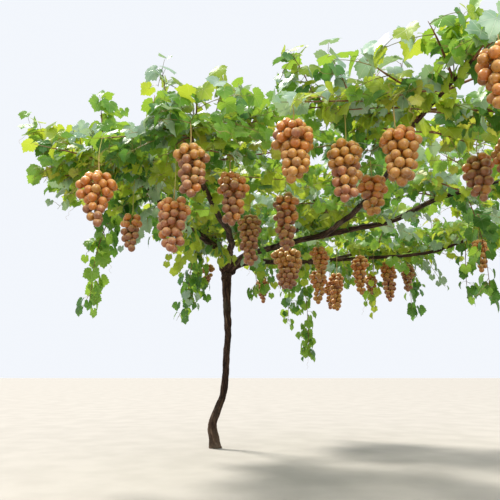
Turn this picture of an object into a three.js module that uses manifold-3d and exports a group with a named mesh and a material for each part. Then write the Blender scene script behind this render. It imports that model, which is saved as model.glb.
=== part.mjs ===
// A grapevine trained flat overhead: one leaning trunk, arms that run out from its head, and nine
// leafy masses with long bunches of round berries under them.
// Millimetres, +Z up. The origin is the middle of the trunk's flat foot at ground level, +X is to
// the right and +Y away from the viewer.
import * as THREE from "three";
import { mergeVertices } from "three/addons/utils/BufferGeometryUtils.js";
import Module from "manifold-3d";

const wasm = await Module();
wasm.setup();

// Heights
const CANOPY_HEIGHT = 1765; // where the stems and canes of the masses run
const ARM_HEIGHT = 1670; // where the arms run, under the canes
const ENTRY_HEIGHT = 1745; // where a bough's tip meets the stem of its mass
const HEAD_HEIGHT = 1570; // the knobby head that the arms leave from

// The canopy is laid out along the row and across it, and the row is turned this far from +X
const ROW_TURN = THREE.MathUtils.degToRad(59);
const CANOPY = { along: [-2560, 1520], across: [-140, 3080] };

// Gaps
const SEAT_GAP = 0.3; // between a limb and what it grows from
const CELL_GAP = 12; // from a leaf to the side of its mass's own space
const SHOOT_GAP = 135; // from a cane's tip to that side
const LIMB_GAP = 25; // from a leaf to a limb's bark
const TWIG_GAP = 12; // from a twig's middle to a limb's bark
const FREE_START = 70; // length of a shoot that may lie nearer its own bough
const BUNCH_GAP = 110; // from a spare bunch's middle to the side of its mass's space
const BUNCH_PITCH = 240; // between the middles of a spare bunch and any other

// Trunk: middle line and radius at each level, from the flared foot to the head
const TRUNK_LEVELS = [
  { at: [0, 0, 0], radius: 54 },
  { at: [-8, 0, 70], radius: 45 },
  { at: [-27, 2, 190], radius: 37 },
  { at: [6, 4, 295], radius: 33 },
  { at: [51, 6, 405], radius: 31 },
  { at: [80, 8, 540], radius: 30 },
  { at: [90, 8, 760], radius: 29 },
  { at: [104, 6, 1030], radius: 30 },
  { at: [90, 4, 1300], radius: 34 },
  { at: [90, 0, 1500], radius: 43 },
  { at: [90, 0, HEAD_HEIGHT + 20], radius: 55 },
  { at: [92, 0, HEAD_HEIGHT + 75], radius: 38 },
];
const TRUNK_SIDES = 10;
const HEAD = new THREE.Vector3(90, 0, HEAD_HEIGHT);

// Boughs: each grows from the head, or from the side of another at a share of its length, and
// ends where it enters its mass
const BOUGHS = [
  { name: "arm_left", mass: "foliage_front_left", radius: [31, 17] },
  { name: "arm_front", mass: "foliage_front_middle", radius: [29, 17] },
  { name: "arm_right", mass: "foliage_middle_right", radius: [28, 16] },
  { name: "arm_back", mass: "foliage_back_middle", radius: [26, 15] },
  { name: "arm_rear", mass: "foliage_back_left", radius: [22, 14] },
  { name: "spur_left", on: "arm_left", share: 0.18, mass: "foliage_middle_left", radius: [17, 12] },
  { name: "spur_middle", on: "arm_right", share: 0.34, mass: "foliage_middle", radius: [18, 13] },
  { name: "bough_front", on: "arm_right", share: 0.6, mass: "foliage_front_right", radius: [20, 14] },
  { name: "bough_back", on: "arm_back", share: 0.45, mass: "foliage_back_right", radius: [19, 13] },
];
const BOUGH_SIDES = 8;
const BOUGH_STEPS = 8;
const BOUGH_ENTRY = 0.42; // share of the mass's reach that a bough stops short of its middle
const BOUGH_CLIMB = 260; // run in which a bough climbs to the arms' height
const BOUGH_RISE = 280; // last run, in which it rises into the canopy
const BOUGH_KNOB = 6; // how far its joints stand to either side by turns
const BOUGH_SWING = 0.05; // most that it bows aside, as a share of its length
const ROOM_STEP = 20; // in which a cane feels its way to the side of its mass's space
const BALL_PITCH = 20; // between the balls that stand for a limb when a gap is measured
const SAME_PLACE = 0.01; // within which two corners of a unit ball are the same one
const ALONG_X = 0.8; // share of a tube's first step that makes it count as one along X

// Masses: the middle along and across the row, the reach, and what grows from the stem. Bunches
// are [x, y, top, length, breadth], upright shoots [x, y, top] and trailing ones [x, y, foot].
// spare is the number of further bunches that seek their own places.
const MASSES = [
  {
    name: "foliage_front_left",
    centre: [-1850, 700],
    reach: 750,
    bunches: [[-360, -2070, 1520, 210, 120]],
    spare: 0,
    upright: [
      [-1005, -2035, 2090],
      [-560, -2130, 2120],
      [-800, -2060, 1960],
    ],
    trailing: [[-740, -1490, 1190]],
  },
  {
    name: "foliage_front_middle",
    centre: [-1920, 1180],
    reach: 800,
    bunches: [
      [-400, -2640, 1560, 260, 150],
      [40, -2800, 1630, 240, 140],
      [-60, -2560, 1460, 260, 160],
      [210, -2420, 1640, 270, 150],
      [520, -2050, 1650, 330, 150],
      [310, -1890, 1570, 310, 140],
    ],
    spare: 0,
    upright: [
      [-125, -2540, 2050],
      [150, -2590, 1950],
    ],
    trailing: [],
  },
  {
    name: "foliage_front_right",
    centre: [-1920, 2420],
    reach: 860,
    bunches: [
      [480, -3000, 1650, 260, 160],
      [710, -2930, 1590, 260, 155],
      [890, -3050, 1590, 235, 155],
      [920, -2480, 1600, 195, 145],
      [1400, -2620, 1660, 230, 140],
      [1460, -2810, 1660, 200, 140],
      [1140, -3445, 1700, 215, 150],
    ],
    spare: 0,
    upright: [
      [560, -2740, 2020],
      [720, -2820, 1970],
      [1140, -3200, 1860],
    ],
    trailing: [[1620, -2800, 1450]],
  },
  {
    name: "foliage_middle_left",
    centre: [-680, 420],
    reach: 820,
    bunches: [[-80, -190, 1600, 170, 105]],
    spare: 0,
    upright: [[-100, -700, 1930]],
    trailing: [
      [-210, -520, 1230],
      [-150, -330, 1440],
      [355, -820, 1360],
    ],
  },
  {
    name: "foliage_middle",
    centre: [-680, 1380],
    reach: 800,
    bunches: [
      [540, -1590, 1430, 260, 190],
      [860, -630, 1460, 270, 125],
      [1030, -560, 1450, 310, 125],
    ],
    spare: 1,
    upright: [[600, -1300, 1940]],
    trailing: [],
  },
  {
    name: "foliage_middle_right",
    centre: [-680, 2420],
    reach: 860,
    bunches: [],
    spare: 3,
    upright: [[1900, -1700, 1960]],
    trailing: [
      [2150, -1950, 1360],
      [1930, -1400, 1230],
    ],
  },
  {
    name: "foliage_back_left",
    centre: [850, 350],
    reach: 820,
    bunches: [],
    spare: 2,
    upright: [[500, 800, 1960]],
    trailing: [
      [880, 350, 930],
      [730, 1020, 1280],
    ],
  },
  {
    name: "foliage_back_middle",
    centre: [880, 1360],
    reach: 800,
    bunches: [
      [1270, -380, 1640, 340, 130],
      [1590, -50, 1650, 370, 140],
      [1800, 60, 1650, 260, 130],
    ],
    spare: 1,
    upright: [[1500, 300, 1950]],
    trailing: [
      [1910, 370, 1330],
      [1190, 0, 1300],
      [1490, 100, 1310],
    ],
  },
  {
    name: "foliage_back_right",
    centre: [800, 2400],
    reach: 860,
    bunches: [],
    spare: 4,
    upright: [[2500, -700, 1950]],
    trailing: [
      [2950, -500, 1300],
      [2250, -200, 1400],
    ],
  },
];
const SPARE_BUNCH = { top: [1590, 1650], length: [220, 300], breadth: [120, 150] };
const SPARE_TRIES = 200;

// Bunches, in shares of the breadth
const BUNCH_GIRTH = [1.15, 0.6]; // at the top and at the foot
const BERRY_GIRTH = 1.1; // at a corner that stands out
const DIP_GIRTH = 0.92; // between those corners
const BUNCH_CHECKS = { round: 8, down: 3 }; // places where a bunch's gap to the limbs is measured

// Twigs: three-sided, from a stem that runs on from the bough's tip
const TWIG_SIDES = 3;
const STEM_RADIUS = [20, 14];
const SHOOT_RADIUS = [8, 6];
const STEM_LENGTH = 0.85; // share of the reach
const STEM_SHARES = [0.17, 0.45, 0.72, 1]; // of that length, where a stem has its points
const STEM_CLIMB = 5; // from each of them to the next
const CANES = 8; // to each mass
const CANE_STEPS = 3;
const CANE_FAN = [138, 22]; // degrees from the stem, at its foot and at its tip
const CANE_ROOTS = [0.34, 0.97]; // shares of the stem that they grow on
const CANE_JITTER = 9; // degrees
const CANE_CURL = 0.25; // radians
const CANE_RISE = [10, 100];
const SIDE_ROOTS = [0.3, 0.98]; // shares of the stem that all other shoots grow on
const ROOT_PLACES = 40; // on that part of the stem, that a shoot chooses between
const SHOOT_CHECKS = 40; // steps of a shoot in which its gap to the limbs is measured
const UPRIGHT_BEND = 1.5; // how late an upright shoot turns up
const TRAIL_STEPS = 4;
const TRAIL_HUMP = 30; // how high a trailing shoot runs before it hangs
const TRAIL_DROP = 0.3; // share of it that runs out before it hangs
const TRAIL_BEND = 2.2; // how soon it has run out
const BUNCH_DROP = 60; // least fall from a fruiting shoot to its bunch
const BUNCH_SUNK = 40; // how far a fruiting shoot runs into its bunch
const FRUITING_HEIGHT = CANOPY_HEIGHT - 25;

// Leaves: a pointed plate that stands for a spray of real ones
const LEAF_LENGTH = [175, 225];
const LEAF_HALF_WIDTH = 0.46; // share of the length
const LEAF_SHOULDER = 0.42; // how far along the widest place is
const LEAF_CROWN = 0.16; // how far along the thickest place is
const LEAF_THICKNESS = 6;
const LEAF_SPACING = 170;
const LEAF_SUNK = 0.5; // how far its root passes the twig's middle
const LEAF_STALK = 26; // near end that may touch the twigs it grows from
const LEAF_TRIES = 3; // ways that a leaf may turn before its place stays empty
const LEAF_ROOTS = [0.24, 0.985]; // shares of a shoot that its leaves grow on
const FRUITING_ROOTS = [0.2, 0.46]; // the same on a shoot that ends in a bunch
const LEAF_FORWARD = [0.1, 0.9]; // how far a leaf points along its shoot, against aside
const TIP_FORWARD = 2.2;
const LEAF_LIFT = [-0.25, 0.3];
const HANGING_LIFT = [-1, -0.3];
const LEAF_AIM = 0.05; // share of a shoot to either side that shows which way it runs there
const STEEP = 0.3; // a shoot that runs less than this out of each step counts as upright
const STEEP_ASIDE = [0.9, 0.4]; // the way that a leaf on such a shoot stands off
const LEAF_TILT = { x: [-0.7, 0.7], y: [-1, 0.5] }; // how a leaf's face turns from straight up
const LEAF_UP = { spread: 1, hanging: 0.35 }; // how far it turns up all the same
const LEAF_CURL = { tip: 0.1, side: 0.05 }; // how far its rim turns down, in shares of its length

// A row of even random numbers from 0 to 1
function seeded(seed) {
  let state = seed >>> 0;
  return () => {
    state = (Math.imul(state, 1664525) + 1013904223) >>> 0;
    return state / 4294967296;
  };
}

const between = (low, high, share) => low + (high - low) * share;

// A place in plan, from its distance along the row and across it
function inPlan([along, across]) {
  const [c, s] = [Math.cos(ROW_TURN), Math.sin(ROW_TURN)];
  return new THREE.Vector2(along * c + across * s, along * s - across * c);
}

// How far along the row and across it a place is
function onRow({ x, y }) {
  const [c, s] = [Math.cos(ROW_TURN), Math.sin(ROW_TURN)];
  return [x * c + y * s, x * s - y * c];
}

// The point at a share of a line's length in steps
function pointOn(line, share) {
  const place = Math.min(Math.max(share, 0), 1) * (line.length - 1);
  const i = Math.min(Math.floor(place), line.length - 2);
  return line[i].clone().lerp(line[i + 1], place - i);
}

const taper = (points, [thick, thin]) => points.map((_, i) => between(thick, thin, i / (points.length - 1)));

// A closed tube round a line of points: a cylinder with one ring to each point. Level rings lie
// flat, and the others stand square to the line.
function tube(points, radii, sides, level = false) {
  const steps = points.length - 1;
  let across = new THREE.Vector3(1, 0, 0);
  const frames = points.map((_, i) => {
    const ahead = points[Math.min(i + 1, steps)].clone().sub(points[Math.max(i - 1, 0)]).normalize();
    if (level) ahead.set(0, 0, 1);
    if (i === 0 && Math.abs(ahead.x) > ALONG_X) across.set(0, 1, 0);
    across = across.clone().addScaledVector(ahead, -across.dot(ahead)).normalize();
    return { across, up: ahead.clone().cross(across) };
  });
  const geometry = new THREE.CylinderGeometry(1, 1, 1, sides, steps);
  const position = geometry.getAttribute("position");
  for (let i = 0; i < position.count; i++) {
    const ring = Math.round((position.getY(i) + 0.5) * steps);
    const place = points[ring]
      .clone()
      .addScaledVector(frames[ring].across, position.getZ(i) * radii[ring])
      .addScaledVector(frames[ring].up, position.getX(i) * radii[ring]);
    position.setXYZ(i, place.x, place.y, place.z);
  }
  return geometry;
}

// A geometry with its shared corners merged, as the solid that the joins and cuts work on
function solid(geometry) {
  geometry.deleteAttribute("normal");
  geometry.deleteAttribute("uv");
  const merged = mergeVertices(geometry, 1e-3);
  return new wasm.Manifold(
    new wasm.Mesh({
      numProp: 3,
      vertProperties: new Float32Array(merged.attributes.position.array),
      triVerts: new Uint32Array(merged.index.array),
    }),
  );
}

function geometryOf(made) {
  const mesh = made.getMesh();
  const geometry = new THREE.BufferGeometry();
  geometry.setAttribute("position", new THREE.BufferAttribute(mesh.vertProperties, 3));
  geometry.setIndex(new THREE.BufferAttribute(mesh.triVerts, 1));
  geometry.computeVertexNormals();
  return geometry;
}

// The largest body of a solid, without loose scraps and sealed hollows
function mainBody(made) {
  return made.decompose().reduce((best, body) => (body.volume() > best.volume() ? body : best));
}

// Trunk
const trunkLine = TRUNK_LEVELS.map(({ at }) => new THREE.Vector3(...at));
const trunkRadii = TRUNK_LEVELS.map(({ radius }) => radius);

function trunkSolid(grown = 0) {
  return solid(tube(trunkLine, trunkRadii.map((radius) => radius + grown), TRUNK_SIDES, true));
}

// Boughs
function boughLine(bough) {
  const mass = MASSES.find(({ name }) => name === bough.mass);
  const parent = BOUGHS.find(({ name }) => name === bough.on);
  const start = parent ? pointOn(boughLine(parent), bough.share) : HEAD;
  const away = inPlan(mass.centre).sub(new THREE.Vector2(start.x, start.y));
  const length = away.length() - mass.reach * BOUGH_ENTRY;
  away.normalize();
  const swing = between(-BOUGH_SWING, BOUGH_SWING, seeded(Math.round(length))()) * length;
  return Array.from({ length: BOUGH_STEPS + 1 }, (_, i) => {
    const share = i / BOUGH_STEPS;
    const run = length * share;
    const knob = i === 0 ? 0 : BOUGH_KNOB * (i % 2 ? 1 : -1);
    const aside = swing * Math.sin(share * Math.PI) + knob;
    const climb = Math.sin((Math.min(1, run / BOUGH_CLIMB) * Math.PI) / 2);
    const rise = Math.max(0, 1 - (length - run) / BOUGH_RISE);
    return new THREE.Vector3(
      start.x + away.x * run - away.y * aside,
      start.y + away.y * run + away.x * aside,
      between(between(start.z, ARM_HEIGHT, climb), ENTRY_HEIGHT, rise),
    );
  });
}

const boughs = BOUGHS.map((bough) => {
  const line = boughLine(bough);
  return { ...bough, line, radii: taper(line, bough.radius) };
});

function boughSolid({ line, radii }, grown = 0) {
  return solid(tube(line, radii.map((radius) => radius + grown), BOUGH_SIDES));
}

// The limbs as rows of balls, to measure how near a twig, leaf or bunch comes
function ballsOf(line, radii) {
  return line.slice(1).flatMap((end, i) => {
    const steps = Math.ceil(line[i].distanceTo(end) / BALL_PITCH);
    return Array.from({ length: steps + 1 }, (_, k) => ({
      at: line[i].clone().lerp(end, k / steps),
      radius: between(radii[i], radii[i + 1], k / steps),
    }));
  });
}

const limbs = [{ line: trunkLine, radii: trunkRadii }, ...boughs];
const limbBalls = limbs.flatMap(({ line, radii }) => ballsOf(line, radii));

const clearOfLimbs = (points, gap) =>
  points.every((point) => limbBalls.every(({ at, radius }) => point.distanceTo(at) > radius + gap));

// A mass's own space: inside the canopy's sides, within the mass's reach, and nearer its middle
// than any other mass's
const centres = MASSES.map(({ centre }) => inPlan(centre));

function inSpace(own, point, gap) {
  const [along, across] = onRow(point);
  const inside = (place, [low, high]) => place > low + gap && place < high - gap;
  if (!inside(along, CANOPY.along) || !inside(across, CANOPY.across)) return false;
  const out = new THREE.Vector2(point.x, point.y).sub(centres[own]);
  if (out.length() > MASSES[own].reach - gap) return false;
  return centres.every((other, i) => {
    const apart = other.clone().sub(centres[own]);
    return i === own || out.dot(apart) / apart.length() < apart.length() / 2 - gap;
  });
}

// How far a cane can run before it comes to the side of the mass's space
function roomAhead(own, start, heading) {
  const tip = start.clone();
  let run = 0;
  while (inSpace(own, tip, SHOOT_GAP)) {
    run += ROOM_STEP;
    tip.set(start.x + Math.cos(heading) * run, start.y + Math.sin(heading) * run, start.z);
  }
  return run;
}

// The stem of a mass, from its bough's tip through its middle
function stemLine(own) {
  const { name, reach } = MASSES[own];
  const bough = boughs.find(({ mass }) => mass === name);
  const tip = bough.line[BOUGH_STEPS];
  const ahead = tip.clone().sub(bough.line[BOUGH_STEPS - 1]).normalize();
  const start = tip.clone().addScaledVector(ahead, SEAT_GAP);
  const straight = start.clone().addScaledVector(ahead, STEM_RADIUS[0] * 2);
  const away = centres[own].clone().sub(new THREE.Vector2(start.x, start.y)).normalize();
  const rest = STEM_SHARES.map((share, i) => {
    const run = share * reach * STEM_LENGTH;
    return new THREE.Vector3(start.x + away.x * run, start.y + away.y * run, CANOPY_HEIGHT + i * STEM_CLIMB);
  });
  return [start, straight, ...rest];
}

// The place on a stem that lies nearest to x, y in plan
function nearest(stem, x, y) {
  const last = ROOT_PLACES - 1;
  const shares = Array.from({ length: ROOT_PLACES }, (_, i) => between(...SIDE_ROOTS, i / last));
  const away = (share) => Math.hypot(pointOn(stem, share).x - x, pointOn(stem, share).y - y);
  return pointOn(stem, shares.reduce((best, share) => (away(share) < away(best) ? share : best)));
}

// A shoot from a stem towards a heading, which curls and rises as it runs
function caneLine(start, heading, run, rise, curl) {
  return Array.from({ length: CANE_STEPS + 1 }, (_, i) => {
    const share = i / CANE_STEPS;
    const turn = heading + curl * share;
    return new THREE.Vector3(
      start.x + Math.cos(turn) * run * share,
      start.y + Math.sin(turn) * run * share,
      start.z + rise * Math.sin((share * Math.PI) / 2),
    );
  });
}

function canesOf(own, stem, random) {
  const heading = Math.atan2(stem[5].y - stem[2].y, stem[5].x - stem[2].x);
  return Array.from({ length: CANES }, (_, k) => {
    const start = pointOn(stem, between(...CANE_ROOTS, (k + 0.5) / CANES));
    const fan = between(...CANE_FAN, k / (CANES - 1)) + between(-CANE_JITTER, CANE_JITTER, random());
    const turn = heading + THREE.MathUtils.degToRad(k % 2 ? fan : -fan);
    const rise = between(...CANE_RISE, random());
    const curl = between(-CANE_CURL, CANE_CURL, random());
    return { points: caneLine(start, turn, roomAhead(own, start, turn), rise, curl) };
  });
}

// Upright shoots curve up to their tops
function uprightLine(stem, [x, y, top]) {
  const start = nearest(stem, x, y);
  return Array.from({ length: CANE_STEPS + 1 }, (_, i) => {
    const share = i / CANE_STEPS;
    const out = Math.sin((share * Math.PI) / 2);
    const height = between(start.z, top, share ** UPRIGHT_BEND);
    return new THREE.Vector3(between(start.x, x, out), between(start.y, y, out), height);
  });
}

// Trailing shoots run out and then hang
function trailingLine(stem, [x, y, foot]) {
  const start = nearest(stem, x, y);
  return Array.from({ length: TRAIL_STEPS + 1 }, (_, i) => {
    const share = i / TRAIL_STEPS;
    const out = 1 - (1 - share) ** TRAIL_BEND;
    const fall = Math.max(0, share - TRAIL_DROP) / (1 - TRAIL_DROP);
    const height = i === 0 ? start.z : between(start.z + TRAIL_HUMP, foot, fall);
    return new THREE.Vector3(between(start.x, x, out), between(start.y, y, out), height);
  });
}

// Fruiting shoots run over to their bunch and turn down into it
function fruitingLine(stem, [x, y, top]) {
  const start = nearest(stem, x, y);
  const over = new THREE.Vector3(x, y, Math.max(top + BUNCH_DROP, FRUITING_HEIGHT));
  return [start, over, new THREE.Vector3(x, y, top - BUNCH_SUNK)];
}

// A bunch: a ball of eighty faces drawn down to a narrower foot, its twelve first corners standing
// out as berries
function bunchSolid([x, y, top, length, breadth]) {
  const geometry = new THREE.IcosahedronGeometry(1, 1);
  const position = geometry.getAttribute("position");
  const first = new THREE.IcosahedronGeometry(1, 0).getAttribute("position");
  const cornerOf = (attribute, i) => new THREE.Vector3().fromBufferAttribute(attribute, i);
  const corners = Array.from({ length: first.count }, (_, i) => cornerOf(first, i));
  for (let i = 0; i < position.count; i++) {
    const p = cornerOf(position, i);
    const bump = corners.some((corner) => corner.distanceTo(p) < SAME_PLACE) ? BERRY_GIRTH : DIP_GIRTH;
    const down = (1 - p.z) / 2;
    const girth = (breadth / 2) * between(...BUNCH_GIRTH, down) * bump;
    position.setXYZ(i, x + p.x * girth, y + p.y * girth, top - down * length);
  }
  return solid(geometry);
}

function bunchIsClear([x, y, top, length, breadth]) {
  const { round, down: levels } = BUNCH_CHECKS;
  const rim = Array.from({ length: round * levels }, (_, i) => {
    const angle = (i * Math.PI * 2) / round;
    const down = Math.floor(i / round) / (levels - 1);
    const girth = (breadth / 2) * between(...BUNCH_GIRTH, down) * BERRY_GIRTH;
    return new THREE.Vector3(x + Math.cos(angle) * girth, y + Math.sin(angle) * girth, top - down * length);
  });
  return clearOfLimbs(rim, TWIG_GAP);
}

// The further bunches of a mass, wherever there is room for them
function spareBunches(own, stem, random) {
  const { bunches, spare, reach } = MASSES[own];
  const found = [];
  const { top, length, breadth } = SPARE_BUNCH;
  for (let tries = 0; found.length < spare && tries < SPARE_TRIES; tries++) {
    const angle = random() * Math.PI * 2;
    const out = Math.sqrt(random()) * reach;
    const [x, y] = [centres[own].x + Math.cos(angle) * out, centres[own].y + Math.sin(angle) * out];
    const bunch = [x, y, ...[top, length, breadth].map((range) => between(...range, random()))];
    const apart = [...bunches, ...found].every(([bx, by]) => Math.hypot(bx - x, by - y) > BUNCH_PITCH);
    const hangs = bunchIsClear(bunch) && shootIsClear({ points: fruitingLine(stem, bunch) });
    if (apart && hangs && inSpace(own, { x, y }, BUNCH_GAP)) found.push(bunch);
  }
  return found;
}

// One leaf: an octahedron pulled into a pointed plate
function leafCorners(root, ahead, normal, length) {
  const across = ahead.clone().cross(normal);
  const at = (along, side, over) =>
    root.clone().addScaledVector(ahead, along).addScaledVector(across, side).addScaledVector(normal, over);
  const half = length * LEAF_HALF_WIDTH;
  const shoulder = length * LEAF_SHOULDER;
  const crown = length * LEAF_CROWN;
  return {
    root: at(-LEAF_SUNK, 0, 0),
    tip: at(length, 0, -LEAF_CURL.tip * length),
    left: at(shoulder, -half, -LEAF_CURL.side * length),
    right: at(shoulder, half, -LEAF_CURL.side * length),
    top: at(crown, 0, LEAF_THICKNESS / 2),
    bottom: at(crown, 0, -LEAF_THICKNESS / 2),
  };
}

function leafSolid({ root, tip, left, right, top, bottom }) {
  const geometry = new THREE.OctahedronGeometry(1);
  const position = geometry.getAttribute("position");
  for (let i = 0; i < position.count; i++) {
    const [x, y, z] = [position.getX(i), position.getY(i), position.getZ(i)];
    let corner = z > 0.5 ? right : left;
    if (Math.abs(x) > 0.5) corner = x > 0 ? tip : root;
    if (Math.abs(y) > 0.5) corner = y > 0 ? top : bottom;
    position.setXYZ(i, corner.x, corner.y, corner.z);
  }
  return solid(geometry);
}

// The places of the leaves on a shoot, to either side by turns, with one at its tip
function leafPlaces({ points, fruits }) {
  const length = points.slice(1).reduce((sum, point, i) => sum + point.distanceTo(points[i]), 0);
  const count = Math.max(2, Math.round(length / LEAF_SPACING));
  return Array.from({ length: count }, (_, k) => {
    const share = between(...(fruits ? FRUITING_ROOTS : LEAF_ROOTS), k / (count - 1));
    return { share, hand: k % 2 ? 1 : -1, last: k === count - 1 && !fruits };
  });
}

function leafAt({ points, hangs }, { share, hand, last }, random) {
  const ahead = pointOn(points, share + LEAF_AIM).sub(pointOn(points, share - LEAF_AIM)).normalize();
  const aside = new THREE.Vector3(-ahead.y, ahead.x, 0);
  if (aside.length() < STEEP) aside.set(...STEEP_ASIDE, 0);
  const forward = last ? TIP_FORWARD : between(...LEAF_FORWARD, random());
  const out = aside.normalize().multiplyScalar(hand).addScaledVector(ahead, forward);
  out.z += between(...(hangs ? HANGING_LIFT : LEAF_LIFT), random());
  out.normalize();
  const [x, y] = [between(...LEAF_TILT.x, random()), between(...LEAF_TILT.y, random())];
  const face = new THREE.Vector3(x, y, hangs ? LEAF_UP.hanging : LEAF_UP.spread);
  const normal = face.addScaledVector(out, -face.dot(out)).normalize();
  return leafCorners(pointOn(points, share), out, normal, between(...LEAF_LENGTH, random()));
}

function leafIsClear(own, { tip, left, right, top, root }) {
  const outline = [tip, left, right];
  const inner = outline.map((corner) => top.clone().lerp(corner, 0.5));
  const rim = [left.clone().lerp(tip, 0.5), right.clone().lerp(tip, 0.5), left.clone().lerp(root, 0.5)];
  return (
    outline.every((corner) => inSpace(own, corner, CELL_GAP)) &&
    clearOfLimbs([...outline, ...inner, ...rim, top, root], LIMB_GAP)
  );
}

// The part of a leaf past its stalk, which may touch nothing
function bladeOf(corners) {
  const away = corners.tip.clone().sub(corners.root).normalize();
  return leafSolid({ ...corners, root: corners.root.clone().addScaledVector(away, LEAF_STALK) });
}

const shootIsClear = ({ points }) => {
  const places = Array.from({ length: SHOOT_CHECKS + 1 }, (_, i) => pointOn(points, i / SHOOT_CHECKS));
  return clearOfLimbs(places.filter((place) => place.distanceTo(points[0]) > FREE_START), TWIG_GAP);
};

// One whole mass: the twigs and bunches fused first, then each leaf that touches nothing but
// its own twig
function massSolid(own) {
  const random = seeded(101 + own * 37);
  const mass = MASSES[own];
  const stem = stemLine(own);
  const canes = canesOf(own, stem, random);
  const bunches = [...mass.bunches, ...spareBunches(own, stem, random)];
  const fruiting = bunches.map((bunch) => ({ points: fruitingLine(stem, bunch), bunch, fruits: true }));
  const upright = mass.upright.map((place) => ({ points: uprightLine(stem, place) }));
  const trailing = mass.trailing.map((place) => ({ points: trailingLine(stem, place), hangs: true }));
  const shoots = [...canes, ...fruiting, ...upright, ...trailing].filter(shootIsClear);

  const stemSolid = solid(tube(stem, taper(stem, STEM_RADIUS), TWIG_SIDES));
  const twigs = shoots.map(({ points }) => solid(tube(points, taper(points, SHOOT_RADIUS), TWIG_SIDES)));
  const fruit = shoots.filter(({ bunch }) => bunch).map(({ bunch }) => bunchSolid(bunch));
  let grown = wasm.Manifold.union([stemSolid, ...twigs, ...fruit]);
  shoots.forEach((shoot) => {
    leafPlaces(shoot).forEach((place) => {
      for (let tries = 0; tries < LEAF_TRIES; tries++) {
        const corners = leafAt(shoot, place, random);
        if (leafIsClear(own, corners) && bladeOf(corners).intersect(grown).isEmpty()) {
          grown = grown.add(leafSolid(corners));
          break;
        }
      }
    });
  });
  return mainBody(grown);
}

// Materials
const bark = new THREE.MeshStandardMaterial({ color: "#5b4433", roughness: 0.9, metalness: 0 });
const leaf = new THREE.MeshStandardMaterial({ color: "#6f9a35", roughness: 0.6, metalness: 0 });

// The vine
const vine = new THREE.Group();

function show(name, made, material) {
  const mesh = new THREE.Mesh(geometryOf(made), material);
  mesh.name = name;
  vine.add(mesh);
}

show("trunk", trunkSolid(), bark);
let carved = trunkSolid(SEAT_GAP);
boughs.forEach((bough) => {
  show(bough.name, mainBody(boughSolid(bough).subtract(carved)), bark);
  carved = carved.add(boughSolid(bough, SEAT_GAP));
});
MASSES.forEach((mass, own) => show(mass.name, massSolid(own), leaf));

export default vine;
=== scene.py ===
"""A fruiting grapevine trained flat overhead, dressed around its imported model.

The limbs and shoots grow by the same rule as the solids, from the same sizes, and are carried on to
finer sprays, leaves on their stalks, berries and tendrils. Metres, +Z up. The origin is the middle of
the trunk's foot, +X is to the right and +Y away from the viewer.
"""

import math

import bpy
import numpy as np
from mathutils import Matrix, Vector, kdtree, noise


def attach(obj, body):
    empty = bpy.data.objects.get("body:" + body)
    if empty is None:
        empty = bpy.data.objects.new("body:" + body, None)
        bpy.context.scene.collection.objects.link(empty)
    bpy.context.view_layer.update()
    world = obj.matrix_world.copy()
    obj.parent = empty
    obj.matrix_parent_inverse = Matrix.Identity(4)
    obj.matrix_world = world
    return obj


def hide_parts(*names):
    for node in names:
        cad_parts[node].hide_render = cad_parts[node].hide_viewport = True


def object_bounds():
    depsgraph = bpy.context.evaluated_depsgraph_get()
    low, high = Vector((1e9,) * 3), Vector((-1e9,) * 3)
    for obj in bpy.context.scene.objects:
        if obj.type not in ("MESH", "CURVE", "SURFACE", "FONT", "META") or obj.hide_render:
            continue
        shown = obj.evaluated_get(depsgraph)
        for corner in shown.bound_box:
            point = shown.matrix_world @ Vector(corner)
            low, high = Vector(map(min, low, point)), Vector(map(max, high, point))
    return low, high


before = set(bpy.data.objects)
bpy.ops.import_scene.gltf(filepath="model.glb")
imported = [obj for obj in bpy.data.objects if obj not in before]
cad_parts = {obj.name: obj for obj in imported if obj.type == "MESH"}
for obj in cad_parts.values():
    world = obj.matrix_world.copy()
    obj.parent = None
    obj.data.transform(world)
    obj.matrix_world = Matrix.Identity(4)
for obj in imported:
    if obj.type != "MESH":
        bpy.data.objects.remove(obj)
bpy.ops.object.select_all(action="DESELECT")
CAD_BOX = [list(corner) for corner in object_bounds()]
VIEW = bpy.context.view_layer

# Camera, low down and tilted up at the canopy
CAMERA_PLACE = (0.307, -5.10, 0.647)
CAMERA_PITCH = math.radians(12.5)
CAMERA_LENS = 39.74
CAMERA_SENSOR = 36.0

# Heights
CANOPY_HEIGHT = 1.765
ARM_HEIGHT = 1.670
ENTRY_HEIGHT = 1.745
HEAD_HEIGHT = 1.570
FRUITING_HEIGHT = CANOPY_HEIGHT - 0.025

# The canopy is laid out along the row and across it, and the row is turned this far from +X
ROW_TURN = math.radians(59)
CANOPY_ALONG = (-2.560, 1.520)
CANOPY_ACROSS = (-0.140, 3.080)

# Gaps
SEAT_GAP = 0.0003
CELL_GAP = 0.012
SHOOT_GAP = 0.135
LIMB_GAP = 0.012
TWIG_GAP = 0.012
FREE_START = 0.070
TIP_GAP = 0.052  # from a twig's tip to the side of its space
MINGLE = 0.120  # how far fine growth of one mass may reach in among its neighbour's
BOX_GAP = 0.030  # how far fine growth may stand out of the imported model's box
BUNCH_GAP = 0.110
BUNCH_PITCH = 0.240
BALL_PITCH = 0.020
ROOM_STEP = 0.020

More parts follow.
